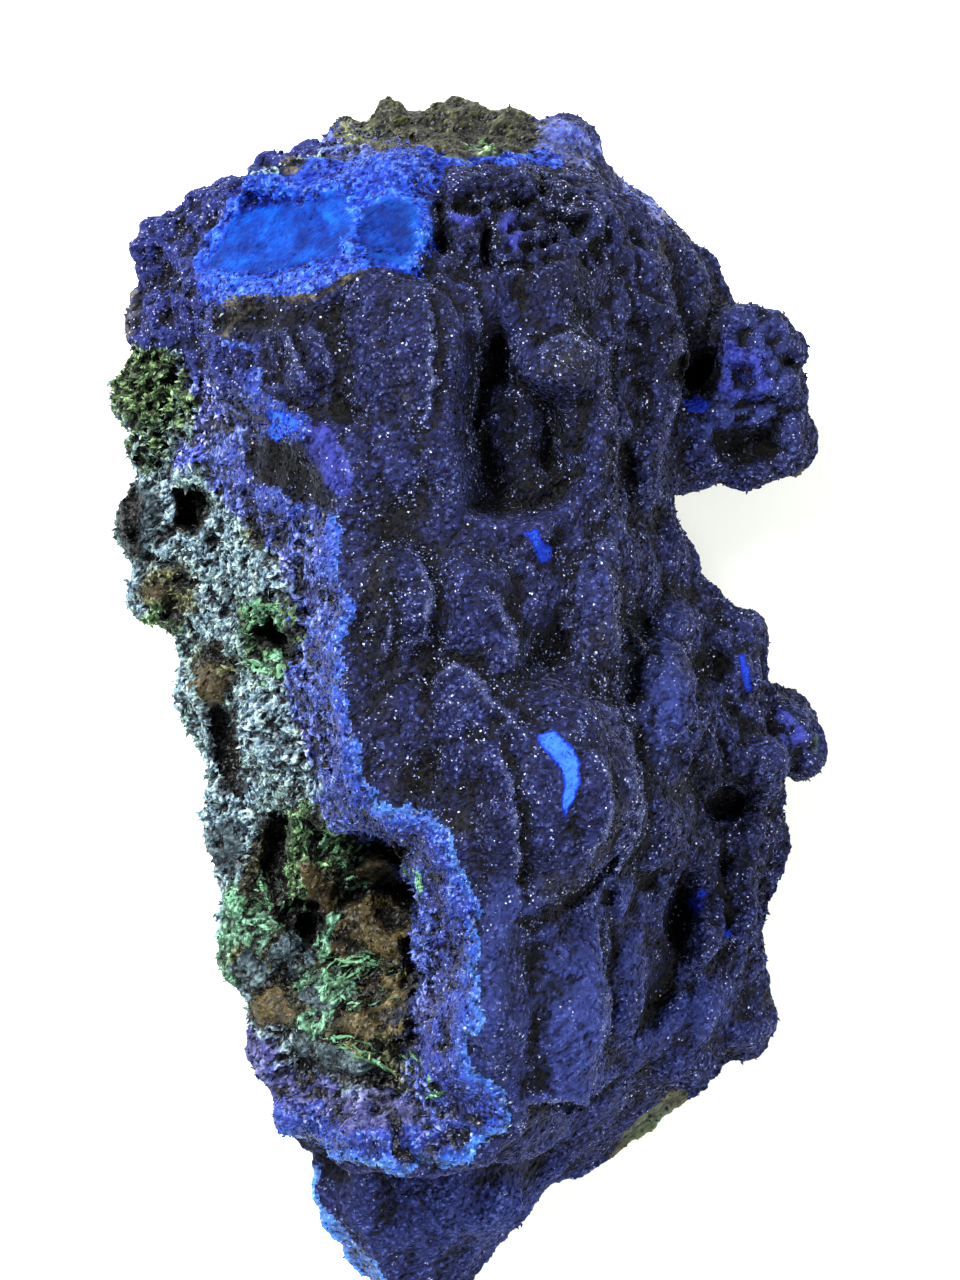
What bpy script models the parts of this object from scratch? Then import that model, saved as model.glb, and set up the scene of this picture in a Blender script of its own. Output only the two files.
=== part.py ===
# An azurite specimen, about 106 mm long, lying on its back: a hand-sized slab of rock with a dark botryoidal
# azurite crust on its right slope, and the broken granular mass that the crust grew on along its left slope.
# The crust's broken edge is the crest between them. It is one solid. Sizes and places are in millimetres
# here, and the finished mesh is scaled to metres.
import bmesh
import bpy
import numpy as np
from mathutils import Matrix, Vector
from mathutils.bvhtree import BVHTree

MM = 0.001
LENGTH = 106.0         # from the matrix at the top end to the broken tip
VOXEL = 0.75           # how finely the joined forms are meshed
TRIANGLES = 9300       # of the finished solid
REST_LEVEL = 0.0       # the broken back is flat here
SEED = 7
WAVES = ((9.0, 0.13), (5.5, 0.12), (3.4, 0.10))   # the rock's unevenness: wavelength and height of each wave
WAVES_EACH = 5
LOBE_RELIEF = 1.35     # of every lobe's height below
LOBE_DEPTH = 1.5       # from a lobe's top to its middle, and what each millimetre of its smaller radius adds
LOBE_SINK = 0.75

# Cross-sections along Y. Each goes round the rock as (x, z): under-left, left edge, broken slope, foot of the
# crust's broken edge, crest, upper crust, lower crust, right edge, under-right.
SECTIONS = (
    (49.0, ((-7, 6), (-11, 10), (-8, 13), (-6, 14), (-3, 15), (2, 15), (7, 13), (9, 10), (5, 6))),
    (46.5, ((-12, 4), (-19, 12), (-13, 18), (-8, 21), (-4, 23), (3, 21), (9, 17), (13, 10), (8, 4))),
    (43.0, ((-14, 2), (-25, 13), (-18, 23), (-11, 27), (-5, 29), (3, 26), (10, 21), (18, 10), (10, 2))),
    (38.5, ((-15, -2), (-29, 13), (-21, 25), (-12, 30), (-5, 32), (3, 30), (11, 24), (22.5, 9), (11, -2))),
    (34.0, ((-15, -3), (-29, 14), (-22, 30), (-14, 33), (-7, 35), (2, 31), (12, 24), (24, 8), (12, -3))),
    (28.5, ((-15, -3), (-28, 13), (-22, 23), (-18, 29), (-12, 34), (-1, 34), (11, 26), (20, 11), (12, -3))),
    (23.0, ((-15, -3), (-28, 13), (-22, 20), (-16, 26), (-12, 34), (-3, 36), (9, 30), (19, 13), (12, -3))),
    (17.0, ((-15, -3), (-29, 13), (-21, 21), (-12, 30), (-9.5, 36), (0, 36), (11, 30), (18, 14), (12, -3))),
    (11.0, ((-15, -3), (-29, 13), (-20, 21), (-12.5, 30), (-9.5, 37), (1, 37), (12, 29), (20, 13), (12, -3))),
    (5.0, ((-15, -3), (-26, 13), (-19, 21), (-12, 31), (-9, 38), (2, 37), (13, 28), (26, 12), (12, -3))),
    (-1.0, ((-15, -3), (-25, 14), (-18, 23), (-11.5, 32), (-8.5, 38), (4, 38), (14, 28), (27, 12), (12, -3))),
    (-7.0, ((-15, -3), (-23, 14), (-16, 23), (-10, 32), (-6.5, 38), (5, 40), (14, 28), (28, 12), (12, -3))),
    (-13.0, ((-15, -3), (-22, 14), (-14, 23), (-4, 32), (-0.5, 38), (6, 39), (14, 26), (28, 11), (12, -3))),
    (-20.0, ((-14, -3), (-21, 15), (-13, 24), (-2, 33), (1.5, 38), (6, 36), (13, 25), (26.5, 10), (12, -3))),
    (-27.0, ((-13, -3), (-19, 16), (-12, 24), (-2, 32), (1, 37), (6, 34), (13, 23), (27, 9), (12, -3))),
    (-32.0, ((-11, -2), (-17, 17), (-11, 25), (-1, 31), (3, 35), (7, 31), (12, 20), (23, 8), (11, -2))),
    (-37.2, ((-9, 0), (-14, 19), (-9, 28), (-2, 31), (1.5, 32), (5, 27), (10, 16), (18, 8), (9, 1))),
    (-38.2, ((-8, 2), (-14, 15), (-9, 19), (-3, 20), (1, 20), (4, 18), (9, 13), (16.5, 8), (8, 3))),
    (-42.0, ((-8, 5), (-14, 16), (-9, 19), (-5, 20), (-1, 20), (3, 18), (6, 14), (8.5, 10), (5, 5))),
    (-47.0, ((-8, 8), (-11, 15), (-8, 18), (-5, 18), (-2, 18), (0, 17), (2, 14), (3.5, 11), (1, 8))),
    (-51.5, ((-5, 10), (-7, 12), (-6, 14), (-5, 15), (-4, 15), (-2, 14), (-1, 13), (0, 12), (-2, 10))),
)

# The crust's broken edge is the crest between them. It is one solid. Sizes and places are in millimetres
# here, and the finished mesh is scaled to metres.
import bmesh
import bpy
import numpy as np
from mathutils import Matrix, Vector
from mathutils.bvhtree import BVHTree

MM = 0.001
LENGTH = 106.0         # from the matrix at the top end to the broken tip
VOXEL = 0.75           # how finely the joined forms are meshed
TRIANGLES = 9300       # of the finished solid
REST_LEVEL = 0.0       # the broken back is flat here
SEED = 7
WAVES = ((9.0, 0.13), (5.5, 0.12), (3.4, 0.10))   # the rock's unevenness: wavelength and height of each wave
WAVES_EACH = 5
LOBE_RELIEF = 1.35     # of every lobe's height below
LOBE_DEPTH = 1.5       # from a lobe's top to its middle, and what each millimetre of its smaller radius adds
LOBE_SINK = 0.75

# Cross-sections along Y. Each goes round the rock as (x, z): under-left, left edge, broken slope, crest,
# upper crust, lower crust, right edge, under-right.
SECTIONS = (
    (49.0, ((-7, 6), (-11, 10), (-8, 13), (-3, 15), (2, 15), (7, 13), (9, 10), (5, 6))),
    (46.5, ((-12, 4), (-19, 12), (-12, 18), (-4, 22), (3, 21), (9, 17), (13, 10), (8, 4))),
    (43.0, ((-14, 2), (-25, 13), (-17, 23), (-6, 28), (2, 26), (10, 21), (18, 10), (10, 2))),
    (38.5, ((-15, -2), (-29, 13), (-20, 25), (-7, 31), (2, 30), (11, 24), (22.5, 9), (11, -2))),
    (34.0, ((-15, -3), (-29, 14), (-20, 29), (-8, 35), (2, 30), (12, 24), (24, 8), (12, -3))),
    (28.5, ((-15, -3), (-28, 13), (-20, 27), (-12, 34), (-1, 34), (11, 26), (20, 11), (12, -3))),
    (23.0, ((-15, -3), (-28, 13), (-21, 22), (-13, 33), (-3, 35), (9, 30), (19, 13), (12, -3))),
    (17.0, ((-15, -3), (-29, 13), (-20, 23), (-10, 36), (0, 36), (11, 30), (18, 14), (12, -3))),
    (11.0, ((-15, -3), (-29, 13), (-19, 23), (-10, 37), (1, 37), (12, 29), (20, 13), (12, -3))),
    (5.0, ((-15, -3), (-26, 13), (-18, 23), (-10, 38), (2, 37), (13, 28), (26, 12), (12, -3))),
    (-1.0, ((-15, -3), (-25, 14), (-17, 24), (-9, 38), (4, 38), (14, 28), (27, 12), (12, -3))),
    (-7.0, ((-15, -3), (-23, 14), (-15, 24), (-7, 38), (5, 39), (14, 28), (28, 12), (12, -3))),
    (-13.0, ((-15, -3), (-22, 14), (-13, 23), (-1, 38), (6, 38), (14, 26), (28, 11), (12, -3))),
    (-20.0, ((-14, -3), (-21, 15), (-11, 22), (1, 38), (6, 36), (13, 25), (26.5, 10), (12, -3))),
    (-27.0, ((-13, -3), (-19, 16), (-9, 25), (1, 37), (6, 34), (13, 23), (27, 9), (12, -3))),
    (-32.0, ((-11, -2), (-17, 17), (-8, 28), (2, 35), (7, 31), (12, 20), (23, 8), (11, -2))),
    (-37.2, ((-9, 0), (-14, 19), (-8, 29), (1, 32), (5, 27), (10, 16), (18, 8), (9, 1))),
    (-38.2, ((-8, 2), (-14, 15), (-8, 20), (0, 21), (4, 19), (9, 14), (16.5, 8), (8, 3))),
    (-42.0, ((-8, 5), (-14, 16), (-9, 19), (-2, 20), (3, 18), (6, 14), (8.5, 10), (5, 5))),
    (-47.0, ((-8, 8), (-11, 15), (-8, 18), (-4, 18), (0, 17), (2, 14), (3.5, 11), (1, 8))),
    (-51.5, ((-5, 10), (-7, 12), (-6, 14), (-4, 15), (-2, 14), (-1, 13), (0, 12), (-2, 10))),
)

# The crust's broken edge, a raised lip that runs down the crest and round the bottom: x and y of its bends.
RIM = (
    (-3, 35.5), (-8, 35.5), (-12, 33), (-20, 32.5), (-20, 29.5), (-16.5, 27), (-15, 23.5), (-10.5, 21),
    (-9.5, 17), (-10, 11.5), (-9, 8.5), (-9.8, 5), (-9.4, 0.5), (-8.6, -3), (-8, -7), (-4, -8.2),
    (-1.5, -10), (0.3, -14), (1.4, -18), (0.8, -23), (0.4, -28.5), (2.8, -31.5), (3.6, -34),
    (1.8, -36.2), (-2, -37.4), (-11, -36.6),
)
RIM_WIDTH = 3.2
RIM_DEPTH = 2.25       # from the lip's top to its middle
RIM_PROUD = 1.1
RIM_STEP = 1.9

# Lobes that stand on the surface below them: x, y, radius along x, radius along y, how proud of the surface.
CRUST_LOBES = (
    (-4.5, 26, 5, 9.5, 1.8), (-1, 43, 1.8, 1.8, 1.5), (3, 43, 2.2, 2, 1.4), (7, 41.5, 2.6, 2.2, 1.5),
    (10.5, 40, 2.4, 2.8, 1.4), (7, 33.5, 3.2, 5, 1.8), (7.5, 27.5, 3.4, 3.2, 2.4),
    (10, 21, 2.5, 4.8, 2.2), (13, 41, 2.5, 2.2, 1.5), (14, 37, 2.5, 2.2, 1.6),
    (15.5, 33.5, 2.5, 2.2, 1.7), (16, 29.5, 2.5, 2.2, 1.7), (15.5, 26, 2.4, 2.1, 1.6),
    (15, 22, 2.2, 2.2, 1.6), (14.5, 18.5, 2.2, 2.1, 1.4), (4.5, 15, 3.2, 2.6, 1.2),
    (10, 8.5, 2.6, 5.6, 1.8), (-6.5, 11.5, 3.6, 3.6, 1), (-4.5, 7, 2.4, 2.6, 1.4),
    (0.5, 8.5, 3.4, 4, 1.4), (2.5, 4, 2.8, 3, 1.2), (6, -6.5, 7.5, 8.5, 2.8), (0.5, -1.5, 4, 4.6, 1.6),
    (11, -3, 3, 3.6, 1.6), (12, -9, 3, 3.8, 1.6), (2.5, -20.5, 2.2, 9.5, 1.4),
    (8, -24.5, 3.6, 8.4, 2.4), (13, -22.5, 1.9, 6, 1.6), (11, -15, 2.2, 2.6, 1.2),
    (17.5, 6.5, 2.2, 2, 1.4), (16.5, -0.5, 3, 6, 2), (15.5, -10, 2.6, 3.6, 1.5), (24, 6, 2.2, 2.2, 1.8),
    (23, 2, 2.2, 2, 1.4), (25, -5.5, 3, 2.8, 1.6), (19, -19.5, 2.4, 3.6, 1.4),
    (23, -17.5, 2.6, 4.2, 1.4), (24, -28.5, 3, 2.8, 1.8), (19.5, -26, 3.6, 4, 1.2),
    (12.5, 4.5, 2, 2, 1.2), (17, 12, 2.4, 3.2, 1.2), (20, 8.5, 2, 2, 1.2), (18, -31, 3, 2.4, 1.2),
    (1, -42, 3.5, 3.5, 0.8),
)
BROKEN_LOBES = (
    (-26, 39, 3, 3, 1.4), (-26.5, 32, 3, 3, 1.4), (-18.5, 29.8, 2.4, 2, 1.2),
    (-21.5, 42.2, 2.6, 2, 1.2), (-14, 44.5, 4, 1.8, 1.2), (-6, 44.2, 4, 1.8, 1.3),
    (-14, 28, 3.2, 3.4, 1), (-27, 27, 4.2, 3.5, 2.4), (-27.5, 22, 2.6, 2, 1.4), (-28, 15.5, 3, 3.6, 2),
    (-27.5, 9.5, 2.2, 2.6, 1.4), (-22.5, 1.5, 2.6, 2.2, 1.6), (-19, 5, 3.4, 4, 1),
    (-16.5, 12, 3.4, 6, 1), (-15.5, -1.5, 3.6, 6.5, 1), (-20.5, -11, 2.2, 5, 1),
    (-19.5, -20, 2.2, 4.6, 1), (-17, -29.5, 2.6, 3.6, 1), (-13, -34.5, 3.6, 3, 1),
    (-4.5, -35, 6, 2.6, 1),
)
# Lumps with a place of their own: x, y, z and the three radii.
KNOB = (
    (24, 26.5, 7, 6, 6.5, 5), (24, 32.5, 12, 2.4, 2, 3), (27, 31, 11, 2.4, 2.4, 3),
    (24, 29, 12.5, 2.8, 2.4, 3), (27.8, 28, 10, 2.2, 2.8, 3.5), (22.5, 25.6, 10, 4.5, 2, 3),
    (25, 21, 8.5, 3.4, 2.6, 3.6), (28.2, 22.8, 8, 2.2, 3.4, 3.6), (19, 22, 8, 5, 3.5, 6),
)
EDGE_LUMPS = (
    (28, -2.5, 9, 2.4, 2.4, 3), (29.8, -5, 8, 1.8, 2.6, 3), (27, -2, 7, 4, 4, 4),
    (-10, 49.5, 9, 2.8, 2.4, 3), (-6, 50.2, 10, 3, 2.5, 3), (-1, 51, 11, 2.8, 2.4, 3.4),
    (3.5, 50, 11, 2.6, 2.5, 3), (8, 48.4, 11, 3.2, 2.8, 3.6), (-13.5, 47, 12, 2, 1.6, 2),
    (-8, 8, 3, 9, 12, 5), (9, -12, 3, 9, 14, 5), (2, 28, 3, 11, 12, 5), (-10, -22, 4, 7, 8, 6),
    (-16, 28, 5, 8, 9, 6), (16, -14, 4, 6, 12, 5),
)
# Hollows: x, y, z of the middle and the three radii.
HOLLOWS = (
    (2.6, 25, 33, 1.6, 8.4, 9), (7, 21, 31, 1.5, 3.6, 7), (13, 20, 30, 1.3, 2.6, 5),
    (19.6, 28.5, 15, 1.8, 2.6, 7), (23, 23.6, 14, 4, 0.9, 4), (18, -18, 22, 1.5, 4.6, 6),
    (16, -26, 24, 1.4, 3.2, 6), (22.6, -9, 18, 3, 2.4, 5.5), (22, -13.5, 19, 1.4, 2.2, 5.5),
    (14.5, 7, 30, 1.4, 1.4, 4.5), (13.6, 2, 31, 1.3, 3.6, 5), (-2, 39, 33, 1, 2, 5),
    (1.5, 38, 32, 0.9, 2.1, 5), (-16.8, 38.6, 30, 7, 3.6, 8.5), (-6, 39, 34, 3.2, 2.9, 6.5),
    (-23.5, 16, 21, 1.8, 2, 5), (-16, 5, 29, 2, 1.6, 6), (-20.5, -3.5, 23, 1.3, 3.4, 6),
    (-10.5, -19, 29, 7.4, 9.8, 10), (-6.4, -17, 29, 3.2, 4.4, 12), (-13.6, -19, 22, 1.8, 1.8, 7),
    (-19.5, 28.2, 31, 5, 1.3, 5), (-8, -30, 31, 4, 3, 6),
)


def add_ellipsoid(mesh, middle, radii):
    place = Matrix.Translation(middle) @ Matrix.Diagonal((*radii, 1))
    bmesh.ops.create_icosphere(mesh, subdivisions=3, radius=1, matrix=place)


def lofted_sections():
    """The rock's main form: each section is a ring of nine points, and the rings are bridged end to end."""
    mesh = bmesh.new()
    rings = []
    for y, corners in SECTIONS:
        points = [mesh.verts.new((x, y, z)) for x, z in corners]
        rings.append([mesh.edges.new((points[i - 1], points[i])) for i in range(len(points))])
    for ring, following in zip(rings, rings[1:]):
        bmesh.ops.bridge_loops(mesh, edges=ring + following)
    bmesh.ops.holes_fill(mesh, edges=mesh.edges[:])
    bmesh.ops.recalc_face_normals(mesh, faces=mesh.faces[:])
    bmesh.ops.triangulate(mesh, faces=mesh.faces[:])
    return mesh


def as_object(name, mesh):
    data = bpy.data.meshes.new(name)
    mesh.to_mesh(data)
    mesh.free()
    made = bpy.data.objects.new(name, data)
    bpy.context.collection.objects.link(made)
    return made


def add_remesh(target, size):
    remesh = target.modifiers.new("Join", "REMESH")
    remesh.mode = "VOXEL"
    remesh.voxel_size = size


def spaced_along(bends, step):
    """Points at equal steps along the line through the bends."""
    bends = np.array(bends, float)
    run = np.concatenate(([0], np.cumsum(np.linalg.norm(np.diff(bends, axis=0), axis=1))))
    at = np.arange(0, run[-1], step)
    return np.column_stack((np.interp(at, run, bends[:, 0]), np.interp(at, run, bends[:, 1])))


def height_at(surface, x, y):
    """The height of the surface's uppermost point over x and y."""
    return surface.ray_cast(Vector((x, y, 2 * LENGTH)), Vector((0, 0, -1)))[0].z


def joined_forms():
    """The lofted rock with every lobe and lump grown into it."""
    mesh = lofted_sections()
    surface = BVHTree.FromBMesh(mesh)
    for x, y, along, across, proud in CRUST_LOBES + BROKEN_LOBES:
        deep = LOBE_DEPTH + LOBE_SINK * min(along, across)
        middle = height_at(surface, x, y) + proud * LOBE_RELIEF - deep
        add_ellipsoid(mesh, (x, y, middle), (along, across, deep))
    for x, y in spaced_along(RIM, RIM_STEP):
        middle = height_at(surface, x, y) + RIM_PROUD - RIM_DEPTH
        add_ellipsoid(mesh, (x, y, middle), (RIM_WIDTH / 2, RIM_WIDTH / 2, RIM_DEPTH))
    for x, y, z, *radii in KNOB + EDGE_LUMPS:
        add_ellipsoid(mesh, (x, y, z), radii)
    forms = as_object("forms", mesh)
    add_remesh(forms, VOXEL)
    return forms


def hollow_cutter():
    mesh = bmesh.new()
    for x, y, z, *radii in HOLLOWS:
        add_ellipsoid(mesh, (x, y, z), radii)
    cutter = as_object("hollows", mesh)
    add_remesh(cutter, VOXEL / 3)
    cutter.hide_render = True
    cutter.display_type = "WIRE"
    return cutter


def evaluated_mesh(source):
    graph = bpy.context.evaluated_depsgraph_get()
    return bpy.data.meshes.new_from_object(source.evaluated_get(graph))


def roughened(points, normals):
    """Uneven rock: each point moves along its normal by a sum of waves of unlike lengths and directions."""
    seeded = np.random.default_rng(SEED)
    moved = np.zeros(len(points))
    for length, height in WAVES:
        for _ in range(WAVES_EACH):
            direction = seeded.normal(size=3)
            direction /= np.linalg.norm(direction)
            phase = seeded.uniform(0, 2 * np.pi)
            moved += height * np.sin(points @ direction * 2 * np.pi / length + phase)
    return points + normals * moved[:, None]


def carved_specimen():
    forms = joined_forms()
    cut = forms.modifiers.new("Hollows", "BOOLEAN")
    cut.operation = "DIFFERENCE"
    cut.solver = "EXACT"
    cut.object = hollow_cutter()
    add_remesh(forms, VOXEL)
    mesh = evaluated_mesh(forms)
    bpy.data.objects.remove(forms)

    points = np.empty(len(mesh.vertices) * 3)
    normals = np.empty(len(mesh.vertices) * 3)
    mesh.vertices.foreach_get("co", points)
    mesh.vertices.foreach_get("normal", normals)
    mesh.vertices.foreach_set("co", roughened(points.reshape(-1, 3), normals.reshape(-1, 3)).ravel())
    carved = bpy.data.objects.new("carved", mesh)
    bpy.context.collection.objects.link(carved)
    thin = carved.modifiers.new("Fewer faces", "DECIMATE")
    thin.ratio = TRIANGLES / (2 * len(mesh.vertices))
    return carved


def rested_on_its_back(carved):
    """Cuts the back off flat, which is the face it lies on, and centres the solid over its own middle."""
    mesh = bmesh.new()
    mesh.from_mesh(evaluated_mesh(carved))
    bpy.data.objects.remove(carved)
    cut = bmesh.ops.bisect_plane(
        mesh,
        geom=mesh.verts[:] + mesh.edges[:] + mesh.faces[:],
        plane_co=(0, 0, REST_LEVEL),
        plane_no=(0, 0, -1),
        clear_outer=True,
    )
    rim = [part for part in cut["geom_cut"] if isinstance(part, bmesh.types.BMEdge)]
    bmesh.ops.edgeloop_fill(mesh, edges=rim)
    bmesh.ops.triangulate(mesh, faces=mesh.faces[:])

    corners = np.array([vert.co[:] for vert in mesh.verts])
    low, high = corners.min(axis=0), corners.max(axis=0)
    centre = (low + high) / 2
    bmesh.ops.translate(mesh, verts=mesh.verts[:], vec=(-centre[0], -centre[1], -low[2]))
    stretch = LENGTH / (high[1] - low[1])
    bmesh.ops.scale(mesh, verts=mesh.verts[:], vec=[stretch * MM] * 3)
    return as_object("azurite_specimen", mesh)


def azurite():
    """Dark blue rock, rough all over."""
    material = bpy.data.materials.new("azurite")
    material.use_nodes = True
    shader = material.node_tree.nodes["Principled BSDF"]
    shader.inputs["Base Color"].default_value = (0.022, 0.030, 0.150, 1)
    shader.inputs["Roughness"].default_value = 0.75
    shader.inputs["Metallic"].default_value = 0
    material.diffuse_color = (0.022, 0.030, 0.150, 1)
    return material


for old in list(bpy.data.objects):
    bpy.data.objects.remove(old)
specimen = rested_on_its_back(carved_specimen())
specimen.data.materials.append(azurite())
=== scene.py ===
# Azurite specimen: a hand-sized slab of rock that lies on its back, looked at from straight above.
# Lengths are millimetres until a mesh is written, and +Y runs towards the end with the matrix.
import math

import bmesh
import bpy
import numpy as np
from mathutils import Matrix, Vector


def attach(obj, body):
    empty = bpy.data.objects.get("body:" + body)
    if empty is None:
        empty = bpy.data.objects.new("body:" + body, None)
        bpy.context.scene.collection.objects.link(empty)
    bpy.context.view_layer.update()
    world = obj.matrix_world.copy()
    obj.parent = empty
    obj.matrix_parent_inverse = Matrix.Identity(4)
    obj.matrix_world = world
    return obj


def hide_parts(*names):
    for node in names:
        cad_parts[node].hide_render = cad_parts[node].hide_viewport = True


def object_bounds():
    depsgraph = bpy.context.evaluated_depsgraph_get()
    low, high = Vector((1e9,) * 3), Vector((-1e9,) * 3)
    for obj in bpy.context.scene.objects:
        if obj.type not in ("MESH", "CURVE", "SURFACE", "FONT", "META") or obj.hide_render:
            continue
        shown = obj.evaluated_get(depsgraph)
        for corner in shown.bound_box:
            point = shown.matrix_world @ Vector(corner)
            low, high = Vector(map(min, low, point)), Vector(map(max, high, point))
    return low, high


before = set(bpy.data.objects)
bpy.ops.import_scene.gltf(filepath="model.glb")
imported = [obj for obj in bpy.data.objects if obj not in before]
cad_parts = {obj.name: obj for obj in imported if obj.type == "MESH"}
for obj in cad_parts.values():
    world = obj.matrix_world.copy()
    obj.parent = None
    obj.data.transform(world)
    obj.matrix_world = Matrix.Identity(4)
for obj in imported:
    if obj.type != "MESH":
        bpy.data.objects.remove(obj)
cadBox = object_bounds()
mm = 0.001
nodeName = "azurite_specimen"


def hashed(cells, seed, columns=3):
    # Even numbers from 0 to 1 for each whole-number cell, from mixing the bits of its indices
    mixed = cells[:, 0] * 73856093 ^ cells[:, 1] * 19349663 ^ cells[:, 2] * 83492791 ^ seed * 374761393
    found = []
    for axis in range(columns):
        bits = (mixed + axis * 668265263) & 0xFFFFFFFF
        bits = ((bits ^ (bits >> 15)) * 2246822519) & 0xFFFFFFFF
        bits = ((bits ^ (bits >> 13)) * 3266489917) & 0xFFFFFFFF
        found.append((bits ^ (bits >> 16)) / 4294967296)
    return np.column_stack(found)


def softNoise(points, size, seed):
    # Random values from -1 to 1 at the corners of a lattice, blended between the eight nearest by 3t^2 - 2t^3
    scaled = points / size
    home = np.floor(scaled).astype(np.int64)
    part = scaled - home
    part = part * part * (3 - 2 * part)
    total = np.zeros(len(points))
    for corner in np.ndindex(2, 2, 2):
        weight = np.ones(len(points))
        for axis in range(3):
            weight = weight * (part[:, axis] if corner[axis] else 1 - part[:, axis])
        total += weight * hashed(home + corner, seed, 1)[:, 0]
    return total * 2 - 1


def roughNoise(points, size, seed, octaves=4):
    # Soft noise added to itself at half the size and half the height, over and over
    return sum(softNoise(points, size / 2 ** n, seed + n) / 2 ** n for n in range(octaves))


def cellField(points, size, seed):
    # One random point in each lattice cell: the distances to the nearest and to the next, in cells, and a
    # random number that belongs to the nearest
    scaled = points / size
    home = np.floor(scaled).astype(np.int64)
    nearest = np.full(len(points), 9.0)
    second = np.full(len(points), 9.0)
    mark = np.zeros(len(points))
    for offset in np.ndindex(3, 3, 3):
        cell = home + offset - 1
        random = hashed(cell, seed)
        apart = ((cell + random - scaled) ** 2).sum(axis=1)
        closer = apart < nearest
        second = np.where(closer, nearest, np.minimum(second, apart))
        mark = np.where(closer, random[:, 0], mark)
        nearest = np.where(closer, apart, nearest)
    return np.sqrt(nearest), np.sqrt(second), mark


def domes(points, size, seed):
    # Spheres of 0.8 of a cell round every cell's point, sunk into the surface: 1 on top, 0 in the creases
    nearest = cellField(points, size, seed)[0]
    return np.sqrt(np.clip(1 - (nearest / 0.8) ** 2, 0, 1))


def smoothStep(value, low, high):
    part = np.clip((value - low) / (high - low), 0, 1)
    return part * part * (3 - 2 * part)


def signedDistance(plan, outline):
    # Millimetres from the closed outline to each point in plan, above 0 inside it
    corners = np.array(outline, float)
    nearest = np.full(len(plan), np.inf)
    inside = np.zeros(len(plan), bool)
    for a, b in zip(corners, np.roll(corners, -1, axis=0)):
        along = np.clip((plan - a) @ (b - a) / ((b - a) @ (b - a)), 0, 1)
        apart = ((plan - a - along[:, None] * (b - a)) ** 2).sum(axis=1)
        nearest = np.minimum(nearest, apart)
        if a[1] != b[1]:
            crosses = (a[1] > plan[:, 1]) != (b[1] > plan[:, 1])
            inside ^= crosses & (plan[:, 0] < a[0] + (b[0] - a[0]) * (plan[:, 1] - a[1]) / (b[1] - a[1]))
    return np.where(inside, 1, -1) * np.sqrt(nearest)


def lineDistance(plan, line):
    # Millimetres from an open line to each point in plan, above 0 on its left, and how far along it (0 to 1)
    bends = np.array(line, float)
    nearest = np.full(len(plan), np.inf)
    side = np.ones(len(plan))
    share = np.zeros(len(plan))
    for n, (a, b) in enumerate(zip(bends, bends[1:])):
        along = np.clip((plan - a) @ (b - a) / ((b - a) @ (b - a)), 0, 1)
        gap = plan - a - along[:, None] * (b - a)
        apart = (gap ** 2).sum(axis=1)
        closer = apart < nearest
        turn = (b[0] - a[0]) * gap[:, 1] - (b[1] - a[1]) * gap[:, 0]
        side = np.where(closer, np.sign(turn), side)
        share = np.where(closer, (n + along) / (len(bends) - 1), share)
        nearest = np.where(closer, apart, nearest)
    return side * np.sqrt(nearest), share


def nearTo(plan, shape, reach):
    # Which points lie within this reach of the shape's bounding box
    corners = np.array(shape, float)
    return ((plan > corners.min(axis=0) - reach) & (plan < corners.max(axis=0) + reach)).all(axis=1)


def patch(plan, outline, fade=0.6, outset=0.0):
    # 1 inside the outline set out by this much, 0 outside it, and a soft step of this width between
    near = nearTo(plan, outline, fade + outset)
    found = np.zeros(len(plan))
    found[near] = smoothStep(signedDistance(plan[near], outline) + outset, -fade / 2, fade / 2)
    return found


def spots(plan, bumps):
    # The highest of several soft round bumps, each at x, y with a radius along x and along y
    total = np.zeros(len(plan))
    for x, y, wide, long in bumps:
        apart = ((plan[:, 0] - x) / wide) ** 2 + ((plan[:, 1] - y) / long) ** 2
        total = np.maximum(total, np.exp(-apart * 1.4))
    return total


# The line where the botryoidal crust is broken off, from the top end down the crest and round the bottom.
# The broken rock is on its right hand as the line runs.
crustEdge = (
    (-5, 47), (-2.7, 43.5), (-2.7, 38), (-3.2, 36), (-4, 35.2), (-7, 35), (-8.5, 35), (-10, 34.4),
    (-12.5, 32.7), (-17, 32.3), (-19.7, 32.7), (-21, 31.5), (-20.7, 30), (-18, 29.2), (-17, 27), (-16.3, 25),
    (-14.7, 23.6), (-12.2, 22.4), (-13.5, 21.3), (-17, 21), (-18.2, 19.8), (-17.2, 18), (-15.5, 17),
    (-14, 16.2), (-11.3, 15.5), (-10, 13.7), (-10.2, 12), (-10.6, 10.4), (-9.4, 9.5), (-9.2, 8), (-9.5, 6.2),
    (-10.3, 5), (-9.7, 3.8), (-9.6, 2.4), (-10.4, 1.3), (-9.2, 0.3), (-8.8, -1.5), (-8.6, -3.6), (-8.3, -6),
    (-7.4, -7.5), (-5.3, -8.1), (-3.2, -8.7), (-1.8, -9.8), (-0.8, -11.8), (0, -14), (1, -16.3), (1.1, -18.2),
    (0.8, -19.6), (1.3, -21.4), (0.9, -23.7), (1, -25.6), (0.3, -27.2), (0.5, -29), (1.4, -30.6), (3, -31.8),
    (3.6, -33.6), (3.1, -35), (1.6, -36.2), (-0.6, -37.7), (-2.5, -38.4), (-7.5, -38.6), (-12, -38.3),
    (-15, -37.6),
)
brokenSide = crustEdge + ((-18, -37.6), (-40, -30), (-40, 52), (-12, 52))

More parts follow.
